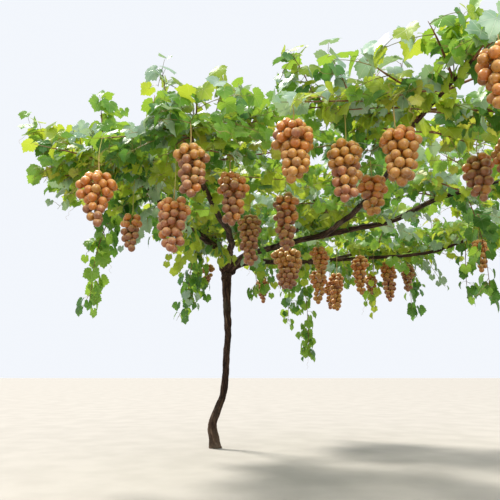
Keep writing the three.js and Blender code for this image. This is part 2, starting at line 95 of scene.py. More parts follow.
# Trunk: middle line and radius at each level
TRUNK_LEVELS = [
    ((0, 0, 0), 0.054),
    ((-0.008, 0, 0.070), 0.045),
    ((-0.027, 0.002, 0.190), 0.037),
    ((0.006, 0.004, 0.295), 0.033),
    ((0.051, 0.006, 0.405), 0.031),
    ((0.080, 0.008, 0.540), 0.030),
    ((0.090, 0.008, 0.760), 0.029),
    ((0.104, 0.006, 1.030), 0.030),
    ((0.090, 0.004, 1.300), 0.034),
    ((0.090, 0, 1.500), 0.043),
    ((0.090, 0, HEAD_HEIGHT + 0.020), 0.055),
    ((0.092, 0, HEAD_HEIGHT + 0.075), 0.038),
]
HEAD = np.array([0.090, 0.0, HEAD_HEIGHT])

# Boughs: the mass that each carries, its radii, and the bough and share of it that it grows on
BOUGHS = {
    "arm_left": ("foliage_front_left", (0.031, 0.017), None, 0),
    "arm_front": ("foliage_front_middle", (0.029, 0.017), None, 0),
    "arm_right": ("foliage_middle_right", (0.028, 0.016), None, 0),
    "arm_back": ("foliage_back_middle", (0.026, 0.015), None, 0),
    "arm_rear": ("foliage_back_left", (0.022, 0.014), None, 0),
    "spur_left": ("foliage_middle_left", (0.017, 0.012), "arm_left", 0.18),
    "spur_middle": ("foliage_middle", (0.018, 0.013), "arm_right", 0.34),
    "bough_front": ("foliage_front_right", (0.020, 0.014), "arm_right", 0.6),
    "bough_back": ("foliage_back_right", (0.019, 0.013), "arm_back", 0.45),
}
BOUGH_STEPS = 8
BOUGH_ENTRY = 0.42
BOUGH_CLIMB = 0.260
BOUGH_RISE = 0.280
BOUGH_KNOB = 0.006
BOUGH_SWING = 0.05

# Masses: the share of its sprays that each keeps, how high fine growth may stand over the canes at
# the viewer's edge, middle along and across the row, reach, bunches (x, y, top, length, breadth),
# number of further bunches, upright shoots (x, y, top) and trailing shoots (x, y, foot)
MASSES = {
    "foliage_front_left": {
        "fullness": 0.90,
        "crest": 0.050,
        "centre": (-1.850, 0.700),
        "reach": 0.750,
        "bunches": [(-0.360, -2.070, 1.520, 0.210, 0.120)],
        "upright": [(-1.005, -2.035, 2.090), (-0.560, -2.130, 2.120), (-0.800, -2.060, 1.960)],
        "trailing": [(-0.740, -1.490, 1.190)],
    },
    "foliage_front_middle": {
        "fullness": 0.76,
        "crest": 0.060,
        "centre": (-1.920, 1.180),
        "reach": 0.800,
        "bunches": [
            (-0.400, -2.640, 1.560, 0.260, 0.150),
            (0.040, -2.800, 1.630, 0.240, 0.140),
            (-0.060, -2.560, 1.460, 0.260, 0.160),
            (0.210, -2.420, 1.640, 0.270, 0.150),
            (0.520, -2.050, 1.650, 0.330, 0.150),
            (0.310, -1.890, 1.570, 0.310, 0.140),
        ],
        "upright": [(-0.125, -2.540, 2.050), (0.150, -2.590, 1.950)],
        "trailing": [],
    },
    "foliage_front_right": {
        "fullness": 0.48,
        "crest": 0.0,
        "centre": (-1.920, 2.420),
        "reach": 0.860,
        "bunches": [
            (0.480, -3.000, 1.650, 0.260, 0.160),
            (0.710, -2.930, 1.590, 0.260, 0.155),
            (0.890, -3.050, 1.590, 0.235, 0.155),
            (0.920, -2.480, 1.600, 0.195, 0.145),
            (1.400, -2.620, 1.660, 0.230, 0.140),
            (1.460, -2.810, 1.660, 0.200, 0.140),
            (1.140, -3.445, 1.700, 0.215, 0.150),
        ],
        "upright": [(0.560, -2.740, 2.020), (0.720, -2.820, 1.970), (1.140, -3.200, 1.860)],
        "trailing": [(1.620, -2.800, 1.450)],
    },
    "foliage_middle_left": {
        "fullness": 0.88,
        "centre": (-0.680, 0.420),
        "reach": 0.820,
        "bunches": [(-0.080, -0.190, 1.600, 0.170, 0.105)],
        "upright": [(-0.100, -0.700, 1.930)],
        "trailing": [(-0.210, -0.520, 1.230), (-0.150, -0.330, 1.440), (0.355, -0.820, 1.360)],
    },
    "foliage_middle": {
        "fullness": 0.62,
        "centre": (-0.680, 1.380),
        "reach": 0.800,
        "bunches": [
            (0.540, -1.590, 1.430, 0.260, 0.190),
            (0.860, -0.630, 1.460, 0.270, 0.125),
            (1.030, -0.560, 1.450, 0.310, 0.125),
        ],
        "spare": 1,
        "upright": [(0.600, -1.300, 1.940)],
        "trailing": [],
    },
    "foliage_middle_right": {
        "fullness": 0.50,
        "centre": (-0.680, 2.420),
        "reach": 0.860,
        "bunches": [],
        "spare": 3,
        "upright": [(1.900, -1.700, 1.960)],
        "trailing": [(2.150, -1.950, 1.360), (1.930, -1.400, 1.230)],
    },
    "foliage_back_left": {
        "fullness": 0.90,
        "centre": (0.850, 0.350),
        "reach": 0.820,
        "bunches": [],
        "spare": 2,
        "upright": [(0.500, 0.800, 1.960)],
        "trailing": [(0.880, 0.350, 0.930), (0.730, 1.020, 1.280)],
    },
    "foliage_back_middle": {
        "fullness": 0.66,
        "centre": (0.880, 1.360),
        "reach": 0.800,
        "bunches": [
            (1.270, -0.380, 1.640, 0.340, 0.130),
            (1.590, -0.050, 1.650, 0.370, 0.140),
            (1.800, 0.060, 1.650, 0.260, 0.130),
        ],
        "spare": 1,
        "upright": [(1.500, 0.300, 1.950)],
        "trailing": [(1.910, 0.370, 1.330), (1.190, 0, 1.300), (1.490, 0.100, 1.310)],
    },
    "foliage_back_right": {
        "fullness": 0.66,
        "centre": (0.800, 2.400),
        "reach": 0.860,
        "bunches": [],
        "spare": 4,
        "upright": [(2.500, -0.700, 1.950)],
        "trailing": [(2.950, -0.500, 1.300), (2.250, -0.200, 1.400)],
    },
}
NAMES, FACTS = list(MASSES), list(MASSES.values())
SPARE_SIZES = [(1.590, 1.650), (0.220, 0.300), (0.120, 0.150)]  # top, length and breadth
SPARE_TRIES = 200
BUNCH_GIRTH = (1.15, 0.6)
BERRY_GIRTH = 1.1
BUNCH_ROUND, BUNCH_LEVELS = 8, 3  # places where a bunch's gap to the limbs is measured

# Shoots of the rule
STEM_LENGTH = 0.85
STEM_SHARES = (0.17, 0.45, 0.72, 1)
STEM_CLIMB = 0.005
STEM_STRAIGHT = 0.040
CANES = 8
CANE_STEPS = 3
CANE_FAN = (138, 22)
CANE_ROOTS = (0.34, 0.97)
CANE_JITTER = 9
CANE_CURL = 0.25
CANE_RISE = (0.010, 0.100)
SIDE_ROOTS = (0.3, 0.98)
ROOT_PLACES = 40
SHOOT_CHECKS = 40
UPRIGHT_BEND = 1.5
TRAIL_STEPS = 4
TRAIL_HUMP = 0.030
TRAIL_DROP = 0.3
TRAIL_BEND = 2.2
BUNCH_DROP = 0.060
BUNCH_SUNK = 0.040

# Finer growth: sprays on the shoots, and leaves on both
SMOOTH_PITCH = 0.022
SHOOT_GIRTH = {
    "cane": (0.0056, 0.0026),
    "fruiting": (0.0042, 0.0022),
    "upright": (0.0048, 0.0020),
    "trailing": (0.0042, 0.0018),
    "riser": (0.0028, 0.0014),
}
SHOOT_SIDES = 6
CREST_SLOPE = 0.68  # how steeply the crest rises inwards
LEAF_THINNING = 0.4  # how strongly a mass's fullness also sets how close its leaves stand
NODE_PITCH = 0.075
NODE_SWELL = 0.35
NODE_RUN = 0.007
TIP_RUN = 0.11  # over which a shoot thins to its tip
TIP_THIN = 0.35
SPRAY_PITCH = 0.058
SPRAY_SCATTER = 0.6  # of the pitch
SPRAY_ROOTS = (0.10, 0.96)
SPRAY_SPAN = 0.04  # share of a cane to either side of a spray's root that gives the cane's direction
SPRAY_STEEP = 0.35  # a cane whose direction in plan is shorter than this gives its sprays any heading
SPRAY_LENGTH = (0.14, 0.38)
SPRAY_ANGLE = (32, 82)
SPRAY_RISE = (-0.20, 0.42)
SPRAY_DROOP = {"up": 0, "hangs": 0.7}  # how much lower it heads
SPRAY_SAG = 0.35
SPRAY_CURL = 0.35
SPRAY_STEPS = 6
SPRAY_GIRTH = (0.0023, 0.0011)
SPRAY_SIDES = 4
SPRAY_KEEP = {"stem": 1.0, "cane": 1.0, "fruiting": 0.5, "upright": 0.9, "trailing": 0.7}
SPRAY_SCALE = {"stem": 0.85, "cane": 1.0, "fruiting": 0.75, "upright": 0.60, "trailing": 0.42}
LEAST_POINTS = 3  # a spray or riser with fewer left is dropped
ROOT_POINTS = 2  # so many of its first points may lie at the limb that it grows from
RISER_PITCH = 0.36  # risers: short upright shoots along the canes
RISER_ROOTS = (0.15, 0.98)
RISER_LENGTH = (0.10, 0.25)
RISER_LEAN = 0.35
RISER_BOW = 1.4
RISER_STEPS = 5
TENDRIL_SHARE = 0.16  # of the sprays and risers end in a tendril
TENDRIL_RUN = (0.05, 0.10)
TENDRIL_FALL = 0.8
TENDRIL_COIL = (0.006, 0.011)
TENDRIL_OPENS = (2, 0.4)  # how fast its coil widens along it, and how late
TENDRIL_TURNS = (1.5, 3.0)
TENDRIL_STEPS = 20
TENDRIL_GIRTH = (0.0010, 0.0006)
TENDRIL_SIDES = 3
LIMB_BARE = 0.30  # a limb's run from its root without side shoots
LIMB_PITCH = 0.085
LIMB_SCALE = 0.95
LIMB_LIFT = 0.090
LIMB_HANGING = 0.45  # of the side shoots hang, on the limbs that have such
HANGING_LIMBS = ("arm_left", "arm_back", "arm_rear", "bough_back")
PEDUNCLE_GIRTH = (0.0022, 0.0030)
PEDUNCLE_BOW = 0.008
PEDUNCLE_BOW_AT = 0.4
WOOD_PAST = (0.03, 0.09)  # how far a fruiting shoot's wood runs past its bunch's stalk
WOOD_RISE = 0.010
SHOOT_RUN_ON = {"cane": 0.120, "upright": 0.125, "trailing": 0.110}  # past the rule's own tip
LEAF_PITCH = {
    "spray": 0.043,
    "cane": 0.050,
    "fruiting": 0.042,
    "upright": 0.030,
    "trailing": 0.042,
    "riser": 0.030,
    "stem": 0.050,
}
LEAF_RUN = {"spray": (0.12, 1), "stem": (0.15, 1), "riser": (0.20, 1.04)}  # shares that bear leaves
SHOOT_LEAF_RUN = (0.06, 1.02)
LEAF_SCATTER = 0.2  # of the pitch
LEAST_LEAVES = 2
LEAF_SPAN = 0.05  # share of a shoot to either side of a node that gives the shoot's direction
LEAF_STEEP = 0.3  # a shoot whose direction in plan is shorter than this bears its leaves all round
LEAF_LENGTH = (0.041, 0.071)  # from the end of the stalk to the tip
LEAF_HALF_BREADTH = 0.75  # of its length
SPRAY_LEAF_SCALE = (1.08, 0.72)  # from a spray's root to its tip
STALK_LENGTH = (0.030, 0.070)
STALK_GIRTH = 0.0011
STALK_SAG = 0.012
STALK_SIDES = 3
LEAF_STALK_GIRTHS = (STALK_GIRTH * 1.4, STALK_GIRTH, STALK_GIRTH)
BERRY_STALK_GIRTHS = (STALK_GIRTH, STALK_GIRTH * 1.5)
LEAF_FORWARD = (0.1, 0.9)
LEAF_LIFT = {"up": (0.0, 0.9), "hangs": (-0.7, 0.4)}
LEAF_DROOP = {"up": (0.1, 2.4), "hangs": (0.9, 3.2)}
LEAF_TILT = ((-0.7, 0.7), (-1.0, 0.5))  # how a blade leans aside and towards -Y
LEAF_FACE = {"up": 1, "hangs": 0.35}  # how far it faces up
LEAF_OUT = {"up": 0, "hangs": 1.2}  # how far it faces away from its shoot

# Berries
BERRY = 0.0420
BUNCH_SPREAD = (0.95, 1.05)  # of that, from bunch to bunch
BERRY_SPREAD = (0.88, 1.08)  # and from berry to berry
LAYER_PITCH = 0.82  # of a berry, as are the next five
LAYER_SCATTER = 0.32
RING_PITCH = 0.94
RING_INSET = 0.42
CORE_RING = 0.95  # a wider ring than this has a berry at its middle
WING = 0.35  # how far a bunch's upper rings bulge to one side
EASE_STEP = 0.35
EASE_ROUNDS = 16
BERRY_TOUCH = 0.96  # of two berries' radii, the nearest that they are left to each other
BUNCH_INSET = (0.45, 0.40)  # of a berry, from a bunch's foot and top to the nearest middle
END_LAYERS = 0.35  # of a layer, at either end
LEAST_LAYERS = 3
GIRTH_SCATTER = (0.92, 1.08)
RING_TURN = 0.22  # radians to either side
RING_SCATTER = (0.80, 1.12)
WING_FADE = 3  # how fast the bulge is gone down the bunch
RACHIS_DOWNS = (-0.06, 0.3, 0.6, 0.88)
RACHIS_GIRTH = (0.0045, 0.0022)
RACHIS_BEND = 0.10  # of the bunch's breadth
RACHIS_SIDES = 5
BERRY_STALK_RISE = 0.5  # of a berry, from its middle up to its stalk's joint
BERRY_STALK_SUNK = 0.4  # of a berry, from its middle to its stalk's end
BUNCH_ROOM = 0.62  # of a bunch's breadth, within which no leaf stands
BUNCH_ROOM_ENDS = (0.03, 0.01)  # how far that goes on under and over the bunch
BUNCH_DOWNS = (0.0, 0.08, 0.20, 0.32, 0.44, 0.70, 0.88, 1.0)
BUNCH_GIRTHS = (0.50, 0.90, 1.03, 0.96, 0.78, 0.70, 0.56, 0.26)


def between(low, high, share):
    return low + (high - low) * share


def shares(steps):
    """Even shares from 0 to 1."""
    return np.arange(steps + 1) / steps


class Draws:
    """A row of even random numbers from 0 to 1, the same in every run."""

    def __init__(self, seed):
        self.state = seed % 2**32

    def share(self):
        self.state = (self.state * 1664525 + 1013904223) % 2**32
        return self.state / 2**32

    def between(self, low, high):
        return between(low, high, self.share())

    def either(self, most):
        return self.between(-most, most)

    def way(self):
        """Any way in plan."""
        turn = self.share() * math.tau
        return np.array([math.cos(turn), math.sin(turn), 0])


def unit(vector):
    vector = np.asarray(vector, float)
    return vector / max(np.linalg.norm(vector), 1e-9)


# Places and lines


def row_turned(places):
    """Places in plan, from how far along and across the row they are, and just as well the reverse."""
    c, s = math.cos(ROW_TURN), math.sin(ROW_TURN)
    x, y = np.asarray(places, float).T[:2]
    return np.array([x * c + y * s, x * s - y * c])


def point_on(line, share):
    """The point at a share of a line's length in steps."""
    place = min(max(share, 0), 1) * (len(line) - 1)
    i = min(int(place), len(line) - 2)
    return line[i] + (line[i + 1] - line[i]) * (place - i)


def smooth_line(line, pitch):
    """Points about a pitch apart on a smooth curve through a line's own points."""
    padded = np.vstack([2 * line[0] - line[1], line, 2 * line[-1] - line[-2]])
    made = []
    for i in range(len(line) - 1):
        a, b, c, d = padded[i : i + 4]
        steps = max(2, round(float(np.linalg.norm(c - b)) / pitch))
        t = np.arange(steps)[:, None] / steps
        curve = 2 * b + (c - a) * t + (2 * a - 5 * b + 4 * c - d) * t**2 + (3 * b - a - 3 * c + d) * t**3
        made.append(curve / 2)
    return np.vstack([*made, line[-1:]])


# The limbs


def bough_line(name):
    """Middle line of a bough, from where it grows to where it enters its mass."""
    mass_name, _, parent, root = BOUGHS[name]
    mass = MASSES[mass_name]
    start = point_on(bough_line(parent), root) if parent else HEAD
    away = row_turned(mass["centre"]) - start[:2]
    span = float(np.linalg.norm(away))
    length = span - mass["reach"] * BOUGH_ENTRY
    away /= span
    swing = Draws(round(length * 1000)).either(BOUGH_SWING) * length
    line = []
    for i in range(BOUGH_STEPS + 1):
        share = i / BOUGH_STEPS
        run = length * share
        knob = 0 if i == 0 else BOUGH_KNOB * (1 if i % 2 else -1)
        aside = swing * math.sin(share * math.pi) + knob
        climb = math.sin(min(1, run / BOUGH_CLIMB) * math.pi / 2)
        rise = max(0, 1 - (length - run) / BOUGH_RISE)
        x = start[0] + away[0] * run - away[1] * aside
        y = start[1] + away[1] * run + away[0] * aside
        line.append((x, y, between(between(start[2], ARM_HEIGHT, climb), ENTRY_HEIGHT, rise)))
    return np.array(line)


def taper(count, radii):
    return between(radii[0], radii[1], shares(count - 1))


TRUNK_LINE = np.array([at for at, _ in TRUNK_LEVELS], float)
TRUNK_RADII = np.array([radius for _, radius in TRUNK_LEVELS])
LIMBS = {"trunk": (TRUNK_LINE, TRUNK_RADII)}
LIMBS.update({name: (bough_line(name), taper(BOUGH_STEPS + 1, BOUGHS[name][1])) for name in BOUGHS})


def balls_of(line, radii):
    """A limb as a row of balls, to measure how near something comes."""
    rows = []
    for i in range(len(line) - 1):
        steps = math.ceil(float(np.linalg.norm(line[i + 1] - line[i])) / BALL_PITCH)
        for k in range(steps + 1):
            centre = between(line[i], line[i + 1], k / steps)
            rows.append((*centre, between(radii[i], radii[i + 1], k / steps)))
    return rows


LIMB_BALLS = np.array([ball for line, radii in LIMBS.values() for ball in balls_of(line, radii)])


def off_limbs(points, gap):
    """Which of the points lie further than a gap from every limb's bark."""
    apart = np.linalg.norm(points[:, None] - LIMB_BALLS[None, :, :3], axis=2)
    return (apart > LIMB_BALLS[:, 3] + gap).all(axis=1)


# The masses' own spaces
CENTRES = np.array([row_turned(facts["centre"]) for facts in FACTS])


def in_space(own, points, gap, border=None):
    """Which of the points lie in a mass's own space: inside the canopy's sides, within the mass's
    reach, and nearer its middle than any other mass's. Fine growth may mingle over that border, and
    growth on a limb belongs to no mass."""
    border = gap if border is None else border
    points = np.atleast_2d(points)
    along, across = row_turned(points)
    kept = (along > CANOPY_ALONG[0] + gap) & (along < CANOPY_ALONG[1] - gap)
    kept &= (across > CANOPY_ACROSS[0] + gap) & (across < CANOPY_ACROSS[1] - gap)
    if own is None:
        return kept
    out = points[:, :2] - CENTRES[own]
    kept &= np.linalg.norm(out, axis=1) <= FACTS[own]["reach"] - gap
    for i, other in enumerate(CENTRES):
        if i != own:
            apart = other - CENTRES[own]
            span = np.linalg.norm(apart)
            kept &= out @ apart / span < span / 2 - border
    return kept


def under_crest(own, points):
    """Which of the points lie under the line that a mass's fine growth keeps to at the viewer's edge
    of the canopy, from where the canopy may grow higher the further in it is."""
    crest = FACTS[own].get("crest") if own is not None else None
    if crest is None:
        return np.ones(len(points), bool)
    along = row_turned(points)[0]
    return points[:, 2] < CANOPY_HEIGHT + crest + (along - CANOPY_ALONG[0]) * CREST_SLOPE


def in_box(points, gap):
    """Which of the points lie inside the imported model's box by a gap."""
    low, high = np.array(CAD_BOX)
    return ((points > low + gap) & (points < high - gap)).all(axis=1)


def has_room(own, points, gap=TIP_GAP, box_gap=TIP_GAP):
    """Which of the points fine growth may reach: its mass's space and a little past its border, and
    the box."""
    return in_space(own, points, gap, -MINGLE) & in_box(points, box_gap)


def room_ahead(own, start, heading):
    """How far a cane can run before it comes to the side of the mass's space."""
    run, tip = 0, start.copy()
    while in_space(own, tip, SHOOT_GAP)[0]:
        run += ROOM_STEP
        tip = start + np.array([math.cos(heading), math.sin(heading), 0]) * run
    return run


# The rule's own shoots


def bough_of(name):
    """The bough that carries a mass."""
    return next(bough for bough, facts in BOUGHS.items() if facts[0] == name)


def stem_line(own):
    """The stem of a mass, from its bough's tip through its middle."""
    bough = LIMBS[bough_of(NAMES[own])][0]
    ahead = unit(bough[-1] - bough[-2])
    start = bough[-1] + ahead * SEAT_GAP
    away = unit(CENTRES[own] - start[:2])
    line = [start, start + ahead * STEM_STRAIGHT]
    for i, share in enumerate(STEM_SHARES):
        run = share * FACTS[own]["reach"] * STEM_LENGTH
        line.append((*(start[:2] + away * run), CANOPY_HEIGHT + i * STEM_CLIMB))
    return np.array(line)


def nearest(stem, x, y):
    """The place on a stem that lies nearest to x, y in plan."""
    places = [point_on(stem, between(*SIDE_ROOTS, share)) for share in shares(ROOT_PLACES - 1)]
    return min(places, key=lambda place: math.hypot(place[0] - x, place[1] - y))


def canes_of(own, stem, draws):
    """The canes of a mass, fanned out to both sides of its stem."""
    heading = math.atan2(stem[-1][1] - stem[2][1], stem[-1][0] - stem[2][0])
    canes = []
    for k in range(CANES):
        start = point_on(stem, between(*CANE_ROOTS, (k + 0.5) / CANES))
        fan = between(*CANE_FAN, k / (CANES - 1)) + draws.either(CANE_JITTER)
        turn = heading + math.radians(fan if k % 2 else -fan)
        rise = draws.between(*CANE_RISE)
        curl = draws.either(CANE_CURL)
        run = room_ahead(own, start, turn)
        share = shares(CANE_STEPS)
        curled = turn + curl * share
        steps = [np.cos(curled) * run * share, np.sin(curled) * run * share]
        canes.append(start + np.stack([*steps, rise * np.sin(share * math.pi / 2)], axis=1))
    return canes


def upright_line(stem, place):
    """An upright shoot, which curves up to its top."""
    x, y, top = place
    start = nearest(stem, x, y)
    share = shares(CANE_STEPS)
    out = np.sin(share * math.pi / 2)
    height = between(start[2], top, share**UPRIGHT_BEND)
    return np.stack([between(start[0], x, out), between(start[1], y, out), height], axis=1)


def trailing_line(stem, place):
    """A trailing shoot, which runs out and then hangs."""
    x, y, foot = place
    start = nearest(stem, x, y)
    share = shares(TRAIL_STEPS)
    out = 1 - (1 - share) ** TRAIL_BEND
    fall = np.maximum(0, share - TRAIL_DROP) / (1 - TRAIL_DROP)
    height = between(start[2] + TRAIL_HUMP, foot, fall)
    height[0] = start[2]
    return np.stack([between(start[0], x, out), between(start[1], y, out), height], axis=1)


def fruiting_line(stem, bunch):
    """A fruiting shoot, which runs over to its bunch and turns down into it."""
    x, y, top = bunch[:3]
    over = (x, y, max(top + BUNCH_DROP, FRUITING_HEIGHT))
    return np.array([nearest(stem, x, y), over, (x, y, top - BUNCH_SUNK)])


def bunch_is_clear(bunch):
    """Whether a bunch hangs clear of every limb."""
    x, y, top, length, breadth = bunch
    rim = []
    for i in range(BUNCH_ROUND * BUNCH_LEVELS):
        angle, down = i * math.tau / BUNCH_ROUND, (i // BUNCH_ROUND) / (BUNCH_LEVELS - 1)
        girth = breadth / 2 * between(*BUNCH_GIRTH, down) * BERRY_GIRTH
        rim.append((x + math.cos(angle) * girth, y + math.sin(angle) * girth, top - down * length))
    return off_limbs(np.array(rim), TWIG_GAP).all()


def shoot_is_clear(line):
    """Whether a shoot passes every limb, past its own root."""
    places = np.array([point_on(line, share) for share in shares(SHOOT_CHECKS)])
    past = np.linalg.norm(places - line[0], axis=1) > FREE_START
    return off_limbs(places[past], TWIG_GAP).all()


def spare_bunches(own, stem, draws):
    """The further bunches of a mass, wherever there is room for them."""
    mass = FACTS[own]
    found = []
    for _ in range(SPARE_TRIES):
        if len(found) == mass.get("spare", 0):
            break
        angle = draws.share() * math.tau
        out = math.sqrt(draws.share()) * mass["reach"]
        x, y = CENTRES[own] + np.array([math.cos(angle), math.sin(angle)]) * out
        bunch = (x, y, *[draws.between(*sizes) for sizes in SPARE_SIZES])
        others = [*mass["bunches"], *found]
        apart = all(math.hypot(other[0] - x, other[1] - y) > BUNCH_PITCH for other in others)
        hangs = bunch_is_clear(bunch) and shoot_is_clear(fruiting_line(stem, bunch))
        if apart and hangs and in_space(own, (x, y), BUNCH_GAP)[0]:
            found.append(bunch)
    return found


# Many small shapes, joined as they come


class Heap:
    """Corners and faces of many small shapes, with a place on each shape for its finish."""

    def __init__(self):
        self.corners, self.faces, self.places, self.count = [], [], [], 0

    def add(self, corners, faces, places):
        self.corners.append(corners)
        self.faces.append(faces + self.count)
        self.places.append(places)
        self.count += len(corners)


def ring_faces(rings, sides):
    """Faces of a closed tube, whose two end middles are its last corners."""
    faces = []
    root, tip = rings * sides, rings * sides + 1
    for k in range(sides):
        turn = (k + 1) % sides
        faces.append((root, turn, k))
        for i in range(rings - 1):
            low, high = i * sides, (i + 1) * sides
            faces += [(low + k, low + turn, high + turn), (low + k, high + turn, high + k)]
        faces.append((tip, tip - 1 - sides + k, tip - 1 - sides + turn))
    return np.array(faces)


TUBE_FACES = {}
ALONG_X = 0.8  # a line that starts more along X than this is measured across from Y


def frames_of(line):
    """At each point of a line: the ways across it and up from it, and ahead along it."""
    ahead = np.gradient(line, axis=0)
    ahead /= np.maximum(np.linalg.norm(ahead, axis=1), 1e-9)[:, None]
    first = np.array([0.0, 1, 0]) if abs(ahead[0][0]) > ALONG_X else np.array([1.0, 0, 0])
    across = np.empty_like(line)
    for i in range(len(line)):
        first = unit(first - ahead[i] * (first @ ahead[i]))
        across[i] = first
    return across, np.cross(ahead, across), ahead


def run_of(line):
    """How far along a line each of its points is."""
    return np.concatenate([[0], np.cumsum(np.linalg.norm(np.diff(line, axis=0), axis=1))])


def tube(line, radii, sides):
    """A closed tube round a line, and the place of each corner on the same tube laid straight."""
    count = len(line)
    across, up, _ = frames_of(line)
    angle = np.arange(sides) * math.tau / sides
    c, s = np.cos(angle)[None, :, None], np.sin(angle)[None, :, None]
    size = np.asarray(radii)[:, None, None]
    corners = line[:, None] + (c * across[:, None] + s * up[:, None]) * size
    run = run_of(line)
    straight = np.empty((count, sides, 3))
    straight[..., 0:1], straight[..., 1:2] = c * size, s * size
    straight[..., 2] = run[:, None]
    ends = np.array([[0, 0, run[0]], [0, 0, run[-1]]])
    if (count, sides) not in TUBE_FACES:
        TUBE_FACES[count, sides] = ring_faces(count, sides)
    return (
        np.vstack([corners.reshape(-1, 3), line[:1], line[-1:]]),
        TUBE_FACES[count, sides],
        np.vstack([straight.reshape(-1, 3), ends]),
    )


def copies(shape, places, axes, sizes):
    """Copies of one small shape, each turned to its own axes, as one set of corners and faces."""
    corners, faces, face_places = shape
    turned = np.einsum("nji,kj->nki", axes, corners) * np.asarray(sizes)[:, None, None]
    joined = faces[None] + (np.arange(len(places)) * len(corners))[:, None, None]
    set_down = (turned + np.asarray(places)[:, None]).reshape(-1, 3)
    return set_down, joined.reshape(-1, 3), np.tile(face_places, (len(places), 1))


# The leaf: five lobes with toothed rims, blistered between its veins
LOBES = {0: 1.0, 30: 0.80, 60: 0.92, 90: 0.72, 120: 0.78, 150: 0.62, 168: 0.50, 180: 0.08}
TOOTH = 0.05
RIM_POINTS = 36
INNER_POINTS = 12
INNER_SHARE = 0.55
BLISTER = 0.055
BLISTERS, WAVES = 6, 3
RIM_EACH = RIM_POINTS // INNER_POINTS


def leaf_shape(fold, droop, cup, waver):
    """One leaf of unit length, stalk end at the origin, tip towards +Y and face towards +Z."""

    def ring(count, share, tooth):
        turn = np.arange(count) * 360 / count
        half = np.minimum(turn, 360 - turn)
        out = np.interp(half, list(LOBES), list(LOBES.values())) * share
        out *= 1 + tooth * np.where(np.arange(count) % 2, -1, 1)
        angle = np.radians(turn)
        x, y = out * np.sin(angle), out * np.cos(angle)
        z = BLISTER * out * (1 - np.cos(BLISTERS * angle)) / 2 + fold * np.abs(x)
        z -= droop * np.maximum(y, 0) ** 2 + cup * out**2
        z += waver * out**2 * np.sin(WAVES * angle + 1)
        return np.stack([x, y, z], axis=1)

    rim, inner = ring(RIM_POINTS, 1, TOOTH), ring(INNER_POINTS, INNER_SHARE, 0)
    corners = np.vstack([[[0, 0, 0]], inner, rim])
    faces = []
    for i in range(INNER_POINTS):
        a, b = 1 + i, 1 + (i + 1) % INNER_POINTS
        r = [1 + INNER_POINTS + (RIM_EACH * i + k) % RIM_POINTS for k in range(RIM_EACH + 1)]
        faces += [(0, b, a), (a, r[1], r[0]), (a, b, r[1]), (b, r[2], r[1]), (b, r[3], r[2])]
    return corners, np.array(faces), corners[:, :2]


# Fold along the middle, droop of the tip, cup and waver of the rim
LEAF_BENDS = [
    (0.22, 0.18, 0.05, 0.04),
    (0.05, 0.30, 0.16, 0.06),
    (-0.12, 0.22, 0.10, -0.05),
    (0.34, 0.34, -0.02, -0.07),
]
LEAF_SHAPES = [leaf_shape(*bends) for bends in LEAF_BENDS]


# Growth

# Greens of the leaves: low and high shade, veins, the light through them and how much of it.
# Bright, deep and pale stand partly for how light falls: bright for leaves lit through, deep for
# leaves in shade, pale for the sky's sheen on glossy leaves. Besides the leaves' own variation they are
# painted light, painted shade and a painted reflection; young is the young leaves' own colour.
LEAF_FINISHES = {
    "bright": ("#82a434", "#a0bc44", "#ceda90", "#b6c436", 0.52),
    "fresh": ("#528c2e", "#70a83c", "#b0cb7e", "#98b83a", 0.48),
    "deep": ("#265c22", "#3e7a2e", "#84a664", "#709c34", 0.38),
    "pale": ("#7ea48a", "#a8c2ae", "#d6e2d4", "#a2bc7c", 0.33),
    "young": ("#9ca83c", "#b6ba4e", "#d8da98", "#bcbe44", 0.47),
}
GREENS = list(LEAF_FINISHES)
# Shares of the greens on shoots that grow up and on those that hang. Hanging leaves take more of the deep
# green as painted shade under the canopy, upright ones more of the bright and pale greens as painted light
# and a painted sheen.
GREEN_SHARES = {"up": [0.28, 0.32, 0.21, 0.17, 0.02], "hangs": [0.07, 0.40, 0.43, 0.09, 0.01]}

# Seeds of the draws: the first mass's or limb's, and the step to the next
RULE_SEEDS = (101, 37)
FINE_SEEDS = (7001, 91)
LIMB_SEEDS = (9001, 53)
BERRY_SEED = 31

canes_heap, sprays_heap, stalks_heap = Heap(), Heap(), Heap()
peduncles_heap, tendrils_heap = Heap(), Heap()
leaf_rows = {green: [] for green in GREENS}
bunch_rows = []
bunches_hung = []


def draws_of(own, seeds):
    """The draws of one mass or limb."""
    return Draws(seeds[0] + own * seeds[1])


def pick_green(draws, habit="up"):
    """The green of all the leaves of one spray, by whether it grows up or hangs."""
    share, total = draws.share(), 0
    for green, part in zip(GREENS, GREEN_SHARES[habit]):
        total += part
        if share < total:
            return green
    return GREENS[0]


def knotted(line, radii, pitch):
    """A shoot's radii, swollen at its nodes and thin at its tip."""
    run = run_of(line)
    near = np.abs((run / pitch + 0.5) % 1 - 0.5) * pitch
    tip = between(TIP_THIN, 1, np.minimum((run[-1] - run) / TIP_RUN, 1))
    return between(*radii, run / run[-1]) * (1 + NODE_SWELL * np.exp(-((near / NODE_RUN) ** 2))) * tip


def ahead_at(line, share, span):
    """The direction of a line at a share of it."""
    return unit(point_on(line, share + span) - point_on(line, share - span))


def level(way, steep, draws):
    """A way's part in plan, or any way in plan where that is too short to tell."""
    flat = np.array([*way, 0])
    return draws.way() if np.linalg.norm(flat) < steep else flat


